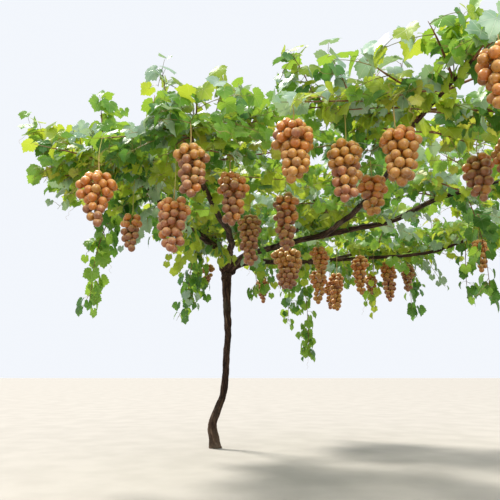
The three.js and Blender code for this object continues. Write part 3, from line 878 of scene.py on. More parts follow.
def leaf_at(line, share, hand, habit, draws):
    """One leaf: the node it grows from, the blade's foot, the ways ahead and up of it, its length."""
    node = point_on(line, share)
    ahead = ahead_at(line, share, LEAF_SPAN)
    aside = level((-ahead[1], ahead[0]), LEAF_STEEP, draws)
    out = unit(aside) * hand + ahead * draws.between(*LEAF_FORWARD)
    out[2] += draws.between(*LEAF_LIFT[habit])
    out = unit(out)
    foot = node + out * draws.between(*STALK_LENGTH)
    onward = unit((out[0], out[1], out[2] - draws.between(*LEAF_DROOP[habit])))
    face = np.array([*[draws.between(*tilt) for tilt in LEAF_TILT], LEAF_FACE[habit]])
    face += np.array([out[0], out[1], 0]) * LEAF_OUT[habit]
    normal = unit(face - onward * (face @ onward))
    return node, foot, onward, normal, draws.between(*LEAF_LENGTH)


def leaves_on(own, line, kind, habit, green, draws, crested=True):
    """The leaves of a shoot or spray, to either side by turns, where each is clear. It gives back
    the share of the line at which the last of them stands."""
    leafy = LEAF_RUN.get(kind, SHOOT_LEAF_RUN)
    full = 1 if own is None or kind == "upright" else FACTS[own]["fullness"] ** LEAF_THINNING
    count = round(run_of(line)[-1] * (leafy[1] - leafy[0]) / LEAF_PITCH[kind] * full)
    count = max(LEAST_LEAVES, count)
    made, stands = [], []
    for k in range(count):
        share = between(*leafy, (k + 0.5 + draws.either(LEAF_SCATTER)) / count)
        made.append(leaf_at(line, share, 1 if k % 2 else -1, habit, draws))
        stands.append(share)
    nodes, feet, onward, normals = (np.array([leaf[k] for leaf in made]) for k in range(4))
    lengths = np.array([leaf[4] for leaf in made])
    if kind == "spray":
        lengths *= between(*SPRAY_LEAF_SCALE, np.arange(count) / max(count - 1, 1))
    across = np.cross(onward, normals)
    tips = feet + onward * lengths[:, None]
    sides = across * (lengths * LEAF_HALF_BREADTH)[:, None]
    clear = np.ones(count, bool)
    for points in (feet, tips, feet + sides, feet - sides):
        clear &= has_room(own, points, CELL_GAP, -BOX_GAP)
        clear &= off_limbs(points, LIMB_GAP) & off_bunches(points)
        if crested:
            clear &= under_crest(own, points)
    for k in np.flatnonzero(clear):
        middle = between(nodes[k], feet[k], 0.5) + np.array([0, 0, STALK_SAG])
        stalks_heap.add(*tube(np.array([nodes[k], middle, feet[k]]), LEAF_STALK_GIRTHS, STALK_SIDES))
        leaf_rows[green].append((feet[k], across[k], onward[k], normals[k], lengths[k]))
    return max((stands[k] for k in np.flatnonzero(clear)), default=0)


def as_far(line, share):
    """A line up to the point at a share of it."""
    return line[: max(2, math.ceil(min(share, 1) * (len(line) - 1)) + 1)]


def off_bunches(points):
    """Which of the points lie clear of every bunch."""
    clear = np.ones(len(points), bool)
    for x, y, top, length, breadth in bunches_hung:
        near = np.hypot(points[:, 0] - x, points[:, 1] - y) < breadth * BUNCH_ROOM
        near &= points[:, 2] > top - length - BUNCH_ROOM_ENDS[0]
        clear &= ~(near & (points[:, 2] < top + BUNCH_ROOM_ENDS[1]))
    return clear


def spray_line(line, share, hand, scale, habit, draws):
    """A side shoot, which leaves its cane at an angle, rises a little and then sags."""
    start = point_on(line, share)
    flat = level(ahead_at(line, share, SPRAY_SPAN)[:2], SPRAY_STEEP, draws)
    heading = math.atan2(flat[1], flat[0]) + hand * math.radians(draws.between(*SPRAY_ANGLE))
    length = draws.between(*SPRAY_LENGTH) * scale
    rise = draws.between(*SPRAY_RISE) - SPRAY_DROOP[habit]
    out = unit((math.cos(heading), math.sin(heading), rise))
    run = shares(SPRAY_STEPS)[:, None]
    spray = start + out * run * length
    spray[:, 2] -= SPRAY_SAG * length * run[:, 0] ** 2
    curl = draws.either(SPRAY_CURL) * length
    spray[:, :2] += np.array([-out[1], out[0]]) * curl * run**2
    return spray


def add_spray(line):
    sprays_heap.add(*tube(line, taper(len(line), SPRAY_GIRTH), SPRAY_SIDES))


def cut_to_space(own, line, crested=True):
    """As much of a line as lies in its mass's space and off the limbs."""
    kept = has_room(own, line)
    if crested:
        kept &= under_crest(own, line)
    kept &= off_limbs(line, TWIG_GAP) | (np.arange(len(line)) < ROOT_POINTS)
    stop = len(line) if kept.all() else int(np.argmin(kept))
    return line[:stop] if stop >= LEAST_POINTS else None


def add_tendril(line, draws):
    """A tendril from the end of a shoot: straight at first, then a coil that hangs."""
    ahead = unit(line[-1] - line[-2])
    run = draws.between(*TENDRIL_RUN)
    coil = draws.between(*TENDRIL_COIL)
    turns = draws.between(*TENDRIL_TURNS) * (1 if draws.share() < 0.5 else -1)
    share = shares(TENDRIL_STEPS)
    middle = line[-1] + ahead * (np.sin(share * math.pi / 2) * run)[:, None]
    middle[:, 2] -= share**2 * run * TENDRIL_FALL
    grown = coil * np.clip(share * TENDRIL_OPENS[0] - TENDRIL_OPENS[1], 0, 1)
    angle = share * turns * math.tau
    across, up, _ = frames_of(middle)
    coiled = middle + (across * np.cos(angle)[:, None] + up * np.sin(angle)[:, None]) * grown[:, None]
    tendrils_heap.add(*tube(coiled, taper(len(coiled), TENDRIL_GIRTH), TENDRIL_SIDES))


def grow_riser(own, line, share, draws):
    """A short shoot that stands up from a cane, and leans over at its tip. It gives back whether it
    bears a leaf."""
    start = point_on(line, share)
    aside = draws.way()
    lean = draws.between(0, RISER_LEAN)
    length = draws.between(*RISER_LENGTH)
    run = shares(RISER_STEPS)[:, None]
    riser = start + aside * lean * length * run**2 + np.array([0, 0, 1]) * length * np.sin(run * RISER_BOW)
    riser = cut_to_space(own, riser)
    if riser is None:
        return False
    last = leaves_on(own, riser, "riser", "up", pick_green(draws), draws)
    riser = as_far(riser, last)
    if last:
        canes_heap.add(*tube(riser, taper(len(riser), SHOOT_GIRTH["riser"]), SPRAY_SIDES))
    if draws.share() < TENDRIL_SHARE and last:
        add_tendril(riser, draws)
    return last > 0


def grow_sprays(own, line, kind, habit, draws):
    """The sprays of a shoot. It gives back the share of it at which the last leafy one stands."""
    last = 0
    count = round(run_of(line)[-1] / SPRAY_PITCH)
    keep = SPRAY_KEEP[kind] * (1 if kind == "upright" else FACTS[own]["fullness"])
    crested = kind != "upright"
    for k in range(count):
        share = between(*SPRAY_ROOTS, (k + draws.share() * SPRAY_SCATTER) / count)
        if draws.share() > keep:
            continue
        spray = spray_line(line, share, 1 if k % 2 else -1, SPRAY_SCALE[kind], habit, draws)
        spray = cut_to_space(own, spray, crested)
        if spray is None:
            continue
        leafy = leaves_on(own, spray, "spray", habit, pick_green(draws, habit), draws, crested)
        spray = as_far(spray, leafy)
        if leafy:
            add_spray(spray)
            last = max(last, share)
        if draws.share() < TENDRIL_SHARE and leafy:
            add_tendril(spray, draws)
    return last


def grow_shoot(own, line, kind, draws):
    """One of the rule's shoots, smoothed, with its sprays, risers and leaves."""
    habit = "hangs" if kind == "trailing" else "up"
    run_on = SHOOT_RUN_ON.get(kind, 0)
    if run_on:
        line = np.vstack([line, line[-1] + unit(line[-1] - line[-2]) * run_on])
    fine = smooth_line(line, SMOOTH_PITCH)
    if run_on:
        added = np.arange(len(fine)) > len(fine) - run_on / SMOOTH_PITCH
        fine = fine[~added | has_room(own, fine)]
    leaf_habit = "hangs" if kind == "stem" else habit
    last = leaves_on(own, fine, kind, leaf_habit, pick_green(draws, habit), draws, kind != "upright")
    last = max(last, grow_sprays(own, fine, kind, habit, draws))
    if kind in ("cane", "stem"):
        for _ in range(round(run_of(fine)[-1] / RISER_PITCH)):
            share = draws.between(*RISER_ROOTS)
            if grow_riser(own, fine, share, draws):
                last = max(last, share)
    if kind != "stem":
        fine = as_far(fine, 1 if kind == "fruiting" else last)
        canes_heap.add(*tube(fine, knotted(fine, SHOOT_GIRTH[kind], NODE_PITCH), SHOOT_SIDES))


def grow_limb(line, draws, hangs):
    """Leafy side shoots on the bare run of a limb, past its root."""
    fine = smooth_line(line, SMOOTH_PITCH)
    length = run_of(fine)[-1]
    for k in range(round((length - LIMB_BARE) / LIMB_PITCH)):
        share = (LIMB_BARE + (k + draws.share()) * LIMB_PITCH) / length
        habit = "hangs" if hangs and draws.share() < LIMB_HANGING else "up"
        spray = spray_line(fine, share, 1 if k % 2 else -1, LIMB_SCALE, habit, draws)
        if habit == "up":
            spray[:, 2] += np.arange(len(spray)) / SPRAY_STEPS * LIMB_LIFT
        spray = spray[has_room(None, spray)]
        if len(spray) < LEAST_POINTS:
            continue
        leafy = leaves_on(None, spray, "spray", habit, pick_green(draws), draws)
        if leafy:
            add_spray(as_far(spray, leafy))


def grow_fruiting(own, line, draws):
    """A fruiting shoot, whose wood runs on past the node that its bunch's stalk hangs from."""
    start, over, foot = line
    past = over + unit((over - start) * (1, 1, 0)) * draws.between(*WOOD_PAST)
    wood = [start, between(start, over, 0.5) + np.array([0, 0, WOOD_RISE]), over]
    if in_space(own, past, CELL_GAP)[0]:
        wood.append(past)
    grow_shoot(own, np.array(wood), "fruiting", draws)
    bow = np.array([draws.either(1), draws.either(1), 0]) * PEDUNCLE_BOW
    middle = between(over, foot, PEDUNCLE_BOW_AT) + bow
    stalk = smooth_line(np.array([over, middle, foot]), SMOOTH_PITCH)
    peduncles_heap.add(*tube(stalk, taper(len(stalk), PEDUNCLE_GIRTH), SHOOT_SIDES))


def berry_rings(length, breadth, size, draws):
    """Rings of berries down a bunch, from its top: middles, and how far down the bunch each is."""
    wing = draws.share() * math.tau
    layers = max(LEAST_LAYERS, round((length - size) / (size * LAYER_PITCH)))
    rows = []
    for layer in range(layers + 1):
        down = (layer + END_LAYERS) / (layers + END_LAYERS * 2)
        girth = breadth / 2 * float(np.interp(down, BUNCH_DOWNS, BUNCH_GIRTHS))
        ring = max(0, girth * draws.between(*GIRTH_SCATTER) - size * RING_INSET)
        count = max(1, int(math.tau * ring / (size * RING_PITCH)))
        turn = draws.share() * math.tau
        for k in range(count):
            angle = turn + k * math.tau / count + draws.either(RING_TURN)
            out = ring * draws.between(*RING_SCATTER)
            out += size * WING * max(0, math.cos(angle - wing)) * max(0, 1 - down * WING_FADE)
            drop = size * draws.either(LAYER_SCATTER)
            rows.append((math.cos(angle) * out, math.sin(angle) * out, -down * length + drop, down))
        if ring > size * CORE_RING:
            rows.append((0, 0, -down * length, down))
    return np.array(rows)


def eased_apart(middles, sizes):
    """Middles of berries, moved until the berries just press on each other."""
    for _ in range(EASE_ROUNDS):
        apart = middles[:, None] - middles[None]
        gaps = np.linalg.norm(apart, axis=2) + np.eye(len(middles))
        overlap = np.maximum(0, (sizes[:, None] + sizes[None]) / 2 * BERRY_TOUCH - gaps)
        np.fill_diagonal(overlap, 0)
        middles = middles + (apart / gaps[..., None] * overlap[..., None]).sum(axis=1) * EASE_STEP
    return middles


def berries_of(bunch, draws):
    """Middles, sizes and heights of a bunch's berries, once their stalks are made."""
    x, y, top, length, breadth = bunch
    size = BERRY * draws.between(*BUNCH_SPREAD)
    bend = np.array([draws.either(1), draws.either(1)]) * breadth * RACHIS_BEND
    rows = berry_rings(length, breadth, size, draws)
    sizes = size * np.array([draws.between(*BERRY_SPREAD) for _ in rows])
    middles = eased_apart(rows[:, :3], sizes)
    middles[:, 2] = np.clip(middles[:, 2], -length + size * BUNCH_INSET[0], -size * BUNCH_INSET[1])
    sway = np.sin(np.clip(-middles[:, 2] / length, 0, 1) * math.pi)
    middles[:, :2] += sway[:, None] * bend
    middles += np.array([x, y, top])
    rachis = np.array([(x, y, top - length * share) for share in RACHIS_DOWNS])
    rachis[:, :2] += np.sin(np.clip(RACHIS_DOWNS, 0, 1) * math.pi)[:, None] * bend
    peduncles_heap.add(*tube(rachis, taper(len(rachis), RACHIS_GIRTH), RACHIS_SIDES))
    for middle, girth in zip(middles, sizes):
        down = min(max((top - middle[2] - girth * BERRY_STALK_RISE) / length, 0), RACHIS_DOWNS[-1])
        joint = np.array([x, y, top - down * length])
        joint[:2] += math.sin(down * math.pi) * bend
        end = middle - unit(middle - joint) * girth * BERRY_STALK_SUNK
        stalks_heap.add(*tube(np.array([joint, end]), BERRY_STALK_GIRTHS, STALK_SIDES))
    return middles, sizes, rows[:, 3]


for own, facts in enumerate(FACTS):
    rule = draws_of(own, RULE_SEEDS)
    stem = stem_line(own)
    canes = canes_of(own, stem, rule)
    bunches = [*facts["bunches"], *spare_bunches(own, stem, rule)]
    shoots = [(line, "cane", None) for line in canes]
    shoots += [(fruiting_line(stem, bunch), "fruiting", bunch) for bunch in bunches]
    shoots += [(upright_line(stem, place), "upright", None) for place in facts["upright"]]
    shoots += [(trailing_line(stem, place), "trailing", None) for place in facts["trailing"]]
    shoots = [shoot for shoot in shoots if shoot_is_clear(shoot[0])]
    bunches_hung.extend(bunch for _, _, bunch in shoots if bunch)
    fine_draws = draws_of(own, FINE_SEEDS)
    grow_shoot(own, stem, "stem", fine_draws)
    for line, kind, bunch in shoots:
        if bunch:
            grow_fruiting(own, line, fine_draws)
            bunch_rows.append((bunch, *berries_of(bunch, fine_draws)))
        else:
            grow_shoot(own, line, kind, fine_draws)

for own, name in enumerate(BOUGHS):
    grow_limb(LIMBS[name][0], draws_of(own, LIMB_SEEDS), name in HANGING_LIMBS)


# Bark: the limbs, and the stems that run on from them, grown together into one skin
BARK_VOXEL = 0.0061
BARK_EASE = 4
COLLAR_SWELL = 0.40
COLLAR_RUN = 0.055
STEM_SUNK = 0.015
STEM_TIP = 0.0062
FIBRE_PITCH = np.array([62, 62, 5.5])
FIBRE_DEPTH = 0.0044
FIBRE_TWIST = 2.4
LUMP_PITCH = 16
LUMP_DEPTH = 0.0045
FIBRE_NOISE = (0.9, 2.1, 3)  # how soon its finer scales fade, how much finer each is, and how many
FULL_RELIEF = 0.030  # thinner limbs than this have less
# Burrs of the head: middle and radius
BURRS = [
    ((0.060, -0.030, 1.600), 0.042),
    ((0.130, 0.020, 1.585), 0.045),
    ((0.095, 0.035, 1.625), 0.040),
    ((0.086, -0.006, 1.505), 0.046),
    ((0.100, -0.045, 1.540), 0.034),
]
FOOT_RIDGES = 5  # ridges that spread from the trunk into its roots
FOOT_RIDGE_RUN = (0.014, 0.054)  # from the trunk's middle at the top and at the ground
FOOT_RIDGE_TOP = 0.160
FOOT_RIDGE_GIRTH = (0.020, 0.012)
FOOT_RIDGE_STEPS = 8
FOOT_RIDGE_SWAY = (0.3, 2.3)  # how unevenly they stand: size, and turn from each to the next
FOOT_RIDGE_CURVE = 2.2
FOOT_SUNK = -0.010  # the ridges end under the ground
FOOT_CUT = 0.0005  # height at which the foot is cut flat
LIMB_SECTION = 4  # how round a limb's section is


def make_active(*objects):
    bpy.ops.object.select_all(action="DESELECT")
    for made in objects:
        made.select_set(True)
    VIEW.objects.active = objects[0]


def apply_modifier(made, kind, **settings):
    make_active(made)
    modifier = made.modifiers.new(kind.title(), kind)
    for key, value in settings.items():
        setattr(modifier, key, value)
    bpy.ops.object.modifier_apply(modifier=modifier.name)


def foot_ridges():
    """The ridges of the flared foot, which leave the trunk low down and run out to the ground."""
    ridges = []
    share = shares(FOOT_RIDGE_STEPS)
    out = between(*FOOT_RIDGE_RUN, share**FOOT_RIDGE_CURVE)
    height = between(FOOT_RIDGE_TOP, FOOT_SUNK, share)
    x, y = (np.interp(height, TRUNK_LINE[:, 2], TRUNK_LINE[:, axis]) for axis in range(2))
    for k in range(FOOT_RIDGES):
        angle = (k + FOOT_RIDGE_SWAY[0] * math.sin(k * FOOT_RIDGE_SWAY[1])) * math.tau / FOOT_RIDGES
        line = np.stack([x + out * math.cos(angle), y + out * math.sin(angle), height], axis=1)
        ridges.append((f"foot_ridge_{k}", line, taper(len(line), FOOT_RIDGE_GIRTH)))
    return ridges


def bark_limbs():
    """Every limb as a smooth line with its radii, the stems of the masses among them."""
    limbs = []
    for name, (line, radii) in LIMBS.items():
        fine = smooth_line(line, SMOOTH_PITCH)
        girth = np.interp(run_of(fine) / run_of(fine)[-1], run_of(line) / run_of(line)[-1], radii)
        if name != "trunk":
            girth = girth * (1 + COLLAR_SWELL * np.exp(-run_of(fine) / COLLAR_RUN))
        limbs.append((name, fine, girth))
    for own, name in enumerate(NAMES):
        stem = smooth_line(stem_line(own), SMOOTH_PITCH)
        stem[0] -= unit(stem[1] - stem[0]) * STEM_SUNK
        limbs.append((name + "_stem", stem, taper(len(stem), (BOUGHS[bough_of(name)][1][1], STEM_TIP))))
    return limbs


def limb_tube(name, line, radii):
    """A round limb along its line, from a curve with a round section."""
    curve = bpy.data.curves.new(name, "CURVE")
    curve.dimensions = "3D"
    curve.bevel_depth = 1
    curve.bevel_resolution = LIMB_SECTION
    curve.use_fill_caps = True
    spline = curve.splines.new("POLY")
    spline.points.add(len(line) - 1)
    for point, place, radius in zip(spline.points, line, radii):
        point.co = (*place, 1)
        point.radius = radius
    made = bpy.data.objects.new(name, curve)
    bpy.context.scene.collection.objects.link(made)
    return made


def straight_places(corners, limbs):
    """Where each corner lies round and along its nearest limb, as if that were laid straight."""
    samples, offset = [], 0
    for _, line, _ in limbs:
        samples.append(np.hstack([line, *frames_of(line), (run_of(line) + offset)[:, None]]))
        offset += run_of(line)[-1] + 1
    samples = np.vstack(samples)
    tree = kdtree.KDTree(len(samples))
    for i, sample in enumerate(samples):
        tree.insert(sample[:3], i)
    tree.balance()
    found = samples[[tree.find(corner)[1] for corner in corners]]
    out = corners - found[:, :3]
    u, v, along = ((out * found[:, k : k + 3]).sum(axis=1) for k in (3, 6, 9))
    return np.stack([u, v, found[:, 12] + along], axis=1)


def bark_relief(straight):
    """How far the bark stands out: long fibres that wind round the limb, and slow lumps."""
    radius = np.hypot(straight[:, 0], straight[:, 1])
    angle = np.arctan2(straight[:, 1], straight[:, 0]) + FIBRE_TWIST * straight[:, 2]
    wound = np.stack([radius * np.cos(angle), radius * np.sin(angle), straight[:, 2]], axis=1)
    rows = wound * FIBRE_PITCH
    fibres = np.array([1 - 2 * abs(noise.fractal(Vector(row), *FIBRE_NOISE)) for row in rows])
    lumps = np.array([noise.noise(Vector(row)) for row in wound * LUMP_PITCH])
    share = np.minimum(1, radius / FULL_RELIEF)
    return (fibres * FIBRE_DEPTH + lumps * LUMP_DEPTH) * share, wound


def bark_piece():
    """The trunk, limbs and stems, grown together, with their bark's relief and a flat foot."""
    limbs = bark_limbs()
    parts = [limb_tube(*limb) for limb in [*limbs, *foot_ridges()]]
    make_active(*parts)
    bpy.ops.object.convert(target="MESH")
    for place, radius in BURRS:
        bpy.ops.mesh.primitive_ico_sphere_add(subdivisions=3, radius=radius, location=place)
        parts.append(VIEW.objects.active)
    make_active(*parts)
    bpy.ops.object.join()
    skin = VIEW.objects.active
    skin.name = skin.data.name = "bark"
    bpy.ops.object.transform_apply(location=True, rotation=True, scale=True)
    apply_modifier(skin, "REMESH", mode="VOXEL", voxel_size=BARK_VOXEL, use_smooth_shade=True)
    apply_modifier(skin, "SMOOTH", factor=0.5, iterations=BARK_EASE)
    mesh = skin.data
    corners = np.empty(len(mesh.vertices) * 3)
    normals = np.empty(len(mesh.vertices) * 3)
    mesh.vertices.foreach_get("co", corners)
    mesh.vertices.foreach_get("normal", normals)
    corners, normals = corners.reshape(-1, 3), normals.reshape(-1, 3)
    relief, wound = bark_relief(straight_places(corners, limbs))
    mesh.vertices.foreach_set("co", (corners + normals * relief[:, None]).ravel())
    mesh.attributes.new("laid", "FLOAT_VECTOR", "POINT").data.foreach_set("vector", wound.ravel())
    make_active(skin)
    bpy.ops.object.mode_set(mode="EDIT")
    bpy.ops.mesh.select_all(action="SELECT")
    bpy.ops.mesh.bisect(plane_co=(0, 0, FOOT_CUT), plane_no=(0, 0, 1), clear_inner=True, use_fill=True)
    bpy.ops.object.mode_set(mode="OBJECT")
    return skin


# Finishes


def colour(code):
    """A colour from its six hex digits, as light."""
    parts = [int(code[i : i + 2], 16) / 255 for i in (1, 3, 5)]
    return (*[part / 12.92 if part <= 0.04045 else ((part + 0.055) / 1.055) ** 2.4 for part in parts], 1)


class Term:
    """What a node gives out, which adds, subtracts and multiplies with more nodes."""

    def __init__(self, finish, socket):
        self.finish, self.socket = finish, socket

    def sum(self, operation, *values):
        return self.finish.node("ShaderNodeMath", {"operation": operation}, dict(enumerate(values)))

    def __add__(self, other):
        return self.sum("ADD", self, other)

    def __sub__(self, other):
        return self.sum("SUBTRACT", self, other)

    def __rsub__(self, other):
        return self.sum("SUBTRACT", other, self)

    def __mul__(self, other):
        return self.sum("MULTIPLY", self, other)

    def __abs__(self):
        return self.sum("ABSOLUTE", self)

    __radd__ = __add__
    __rmul__ = __mul__

    def least(self, other):
        return self.sum("MINIMUM", self, other)

    def band(self, low, high):
        """0 at low, 1 at high, eased between."""
        settings = {"interpolation_type": "SMOOTHSTEP"}
        return self.finish.node("ShaderNodeMapRange", settings, {0: self, 1: low, 2: high, 3: 0, 4: 1})


class Finish:
    """A material in the making."""

    def __init__(self, name):
        self.material = bpy.data.materials.new(name)
        self.material.use_nodes = True
        self.tree = self.material.node_tree
        self.tree.nodes.clear()

    def node(self, kind, settings=None, sockets=None, out=0):
        """A node with its settings and its sockets' values or links, as the term it gives out."""
        made = self.tree.nodes.new(kind)
        for key, value in (settings or {}).items():
            if key == "stops":
                self.set_stops(made.color_ramp, value)
            else:
                setattr(made, key, value)
        for key, value in (sockets or {}).items():
            if isinstance(value, Term):
                self.tree.links.new(value.socket, made.inputs[key])
            else:
                made.inputs[key].default_value = value
        return Term(self, made.outputs[out])

    def set_stops(self, ramp, stops):
        for i, (place, code) in enumerate(stops):
            stop = ramp.elements[i] if i < 2 else ramp.elements.new(place)
            stop.position, stop.color = place, colour(code)

    def object_place(self):
        return self.node("ShaderNodeTexCoord", out="Object")

    def parts(self, place):
        made = self.node("ShaderNodeSeparateXYZ", None, {0: place})
        return [Term(self, socket) for socket in made.socket.node.outputs]

    def blade(self):
        """The two parts of a place on a leaf or berry."""
        return self.parts(self.node("ShaderNodeUVMap", {"uv_map": "blade"}))[:2]

    def clouds(self, scale, detail=3, roughness=0.5, place=None):
        """Soft noise over the piece."""
        sockets = {"Vector": place or self.object_place(), "Scale": scale}
        return self.node("ShaderNodeTexNoise", None, {**sockets, "Detail": detail, "Roughness": roughness})

    def streaks(self, squash, scale, detail, roughness):
        """The same noise, drawn out along a limb or shoot."""
        laid = self.node("ShaderNodeAttribute", {"attribute_name": "laid"}, out="Vector")
        place = self.node("ShaderNodeVectorMath", {"operation": "MULTIPLY"}, {0: laid, 1: (1, 1, squash)})
        return self.clouds(scale, detail, roughness, place)

    def ramp(self, term, stops):
        return self.node("ShaderNodeValToRGB", {"stops": stops}, {0: term})

    def blend(self, share, low, high, how="MIX"):
        """From one colour to another by a share. In a Mix node 6 and 7 are the two colours."""
        low, high = (colour(side) if isinstance(side, str) else side for side in (low, high))
        settings = {"data_type": "RGBA", "blend_type": how}
        return self.node("ShaderNodeMix", settings, {0: share, 6: low, 7: high}, out=2)

    def relief(self, height, depth):
        return self.node("ShaderNodeBump", None, {"Height": height, "Strength": 1.0, "Distance": depth})

    def coat(self, **sockets):
        """The main shader. Words of a socket's name are joined by _ here."""
        named = {key.replace("_", " "): value for key, value in sockets.items()}
        return self.node("ShaderNodeBsdfPrincipled", None, named)

    def coated(self, **sockets):
        return self.done(self.coat(**sockets))

    def done(self, shader):
        output = self.tree.nodes.new("ShaderNodeOutputMaterial")
        self.tree.links.new(shader.socket, output.inputs["Surface"])
        return self.material


# Shades of the wood by how light its noise is
BARK_STOPS = ((0.32, "#19100c"), (0.46, "#38261c"), (0.57, "#5a4334"), (0.72, "#93806c"))
CANE_STOPS = ((0.32, "#4a2a1b"), (0.50, "#7a4a2e"), (0.68, "#a87850"))
CRACK_WIDTH = 0.10
LOW_PALING_HEIGHTS = (0.02, 0.45)  # paled in patches up to the first height, and not paled from the second
BARK_DEPTH, CANE_DEPTH, LEAF_DEPTH = 0.012, 0.0006, 0.0012


def bark_finish():
    """Old vine bark: dark grey-brown fibres with paler worn ridges and painted shade darkening its
    cracks, paler in patches towards the ground.
    """
    finish = Finish("old_bark")
    strips = finish.streaks(squash=0.10, scale=62, detail=4, roughness=0.6)
    threads = finish.streaks(squash=0.05, scale=240, detail=3, roughness=0.55)
    folds = finish.streaks(squash=0.07, scale=95, detail=2, roughness=0.5)
    cracks = 1 - abs(folds * 2 - 1).band(0.0, CRACK_WIDTH)
    patches = finish.clouds(7)
    height = finish.parts(finish.object_place())[2]
    tone = strips * 0.65 + threads * 0.35
    # The cracks are darkened almost to black: painted shade in them on top of the bark's own darker colour
    # there
    shade = finish.blend(cracks * 0.85, finish.ramp(tone, BARK_STOPS), "#0e0907")
    # Paler in patches towards the ground
    low_paling = (1 - height.band(*LOW_PALING_HEIGHTS)) * patches.band(0.25, 0.65) * 0.40
    shade = finish.blend(low_paling, shade, "#9a8670")
    shade = finish.blend(patches.band(0.56, 0.72) * 0.35, shade, "#6f6a58")
    normal = finish.relief(tone - cracks * 0.5, BARK_DEPTH)
    rough = 0.78 + threads * 0.2
    return finish.coated(Base_Color=shade, Roughness=rough, Normal=normal, Specular_IOR_Level=0.25)


def cane_finish():
    """This year's ripened wood: red-brown, finely streaked."""
    finish = Finish("cane_wood")
    streaks = finish.streaks(squash=0.04, scale=700, detail=3, roughness=0.6)
    green = finish.clouds(6, detail=2).band(0.45, 0.7) * 0.5
    shade = finish.blend(green, finish.ramp(streaks, CANE_STOPS), "#6b5a34")
    normal = finish.relief(streaks, CANE_DEPTH)
    return finish.coated(Base_Color=shade, Roughness=0.55 + streaks * 0.2, Normal=normal)


def green_wood_finish(name, low, high):
    """Soft green growth: side shoots, leaf stalks and tendrils."""
    finish = Finish(name)
    patches = finish.clouds(9)
    shade = finish.blend(patches.band(0.35, 0.65), low, high)
    return finish.coated(Base_Color=shade, Roughness=0.45 + patches * 0.15)


VEIN_TURNS = (60, 120)  # degrees from the middle vein
VEIN_WIDTHS = (0.009, 0.030)  # full and faded


def leaf_finish(name, low, high, vein, glow, through):
    """A leaf: its green in soft patches, paler along its veins, and the light that comes through."""
    finish = Finish("leaf_" + name)
    patches, grain = finish.clouds(11), finish.clouds(160, detail=2)
    x, y = (part * 2 - 1 for part in finish.blade())
    x = abs(x)
    near = x
    for turn in VEIN_TURNS:
        c, s = math.cos(math.radians(turn)), math.sin(math.radians(turn))
        off_vein = abs(x * c - y * s)
        behind = (x * s + y * c).band(0.0, 0.05)
        near = near.least(off_vein + (1 - behind))
    veins = 1 - near.band(*VEIN_WIDTHS)
    shade = finish.blend(patches.band(0.3, 0.7), low, high)
    shade = finish.blend(veins * 0.55, shade, vein)
    normal = finish.relief(grain * 0.4 + veins * 0.6, LEAF_DEPTH)
    rough = 0.30 + patches * 0.22
    skin = finish.coat(Base_Color=shade, Roughness=rough, Normal=normal, Specular_IOR_Level=0.6)
    lit = finish.node("ShaderNodeBsdfTranslucent", None, {"Color": colour(glow)})
    return finish.done(finish.node("ShaderNodeMixShader", None, {0: through, 1: skin, 2: lit}))


BERRY_LIT = (0.30, 0.96)  # from where on its height a berry's painted highlight begins, and where it is strongest; below it lies painted shade
SCAR_EDGE = (0.975, 0.995)


def berry_finish(name, low, high, scar):
    """A ripe berry: bloom over a flushed skin, with a painted highlight on its upper side and painted
    shade on its lower side, and the small scar of its blossom end."""
    finish = Finish("berry_" + name)
    flush = finish.clouds(26, detail=2)
    bloom = finish.clouds(90, detail=4, roughness=0.6)
    upper, end = finish.blade()
    upper = upper.band(*BERRY_LIT)
    shade = finish.blend(flush.band(0.35, 0.65), low, high)
    shade = finish.blend(end.band(*SCAR_EDGE) * 0.45, shade, scar)
    # Painted highlight: the upper side of each berry is paled towards light peach
    shade = finish.blend(upper * 0.60, shade, "#ffdaa2")
    # Painted shade: the lower side of each berry is darkened towards deep brown
    shade = finish.blend((1 - upper) * 0.62, shade, "#8c4a16", "MULTIPLY")
    shade = finish.blend(bloom.band(0.5, 0.75) * 0.14, shade, "#f2dcc8")
    return finish.coated(
        Base_Color=shade,
        Roughness=0.22 + bloom * 0.16,
        Subsurface_Weight=0.30,
        Subsurface_Radius=(1.0, 0.50, 0.2),
        Subsurface_Scale=0.007,
        Specular_IOR_Level=0.60,
    )


# Pieces


def finish_piece(piece, material, nodes):
    piece.data.materials.clear()
    piece.data.materials.append(material)
    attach(piece, "root")
    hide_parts(*nodes)


def small_piece(name, heap, material):
    """The small shapes of one heap, joined as one piece that stands for the masses. A shape's places
    are three numbers on a shoot, and two on a leaf or berry."""
    corners, faces, places = (np.vstack(rows) for rows in (heap.corners, heap.faces, heap.places))
    mesh = bpy.data.meshes.new(name)
    mesh.vertices.add(len(corners))
    mesh.loops.add(len(faces) * 3)
    mesh.polygons.add(len(faces))
    mesh.vertices.foreach_set("co", corners.ravel())
    mesh.loops.foreach_set("vertex_index", faces.ravel().astype(np.int32))
    mesh.polygons.foreach_set("loop_start", np.arange(0, len(faces) * 3, 3, dtype=np.int32))
    mesh.polygons.foreach_set("use_smooth", np.ones(len(faces), bool))
    if places.shape[1] == 3:
        mesh.attributes.new("laid", "FLOAT_VECTOR", "POINT").data.foreach_set("vector", places.ravel())
    else:
        blade = mesh.uv_layers.new(name="blade")
        blade.data.foreach_set("uv", (places[faces.ravel()] / 2 + 0.5).ravel())
    mesh.update(calc_edges=True)
    mesh.validate()
    piece = bpy.data.objects.new(name, mesh)
    bpy.context.scene.collection.objects.link(piece)
    finish_piece(piece, material, NAMES)


BERRY_SIDES, BERRY_RINGS = 12, 7
BERRY_LONG = 1.06  # of its breadth


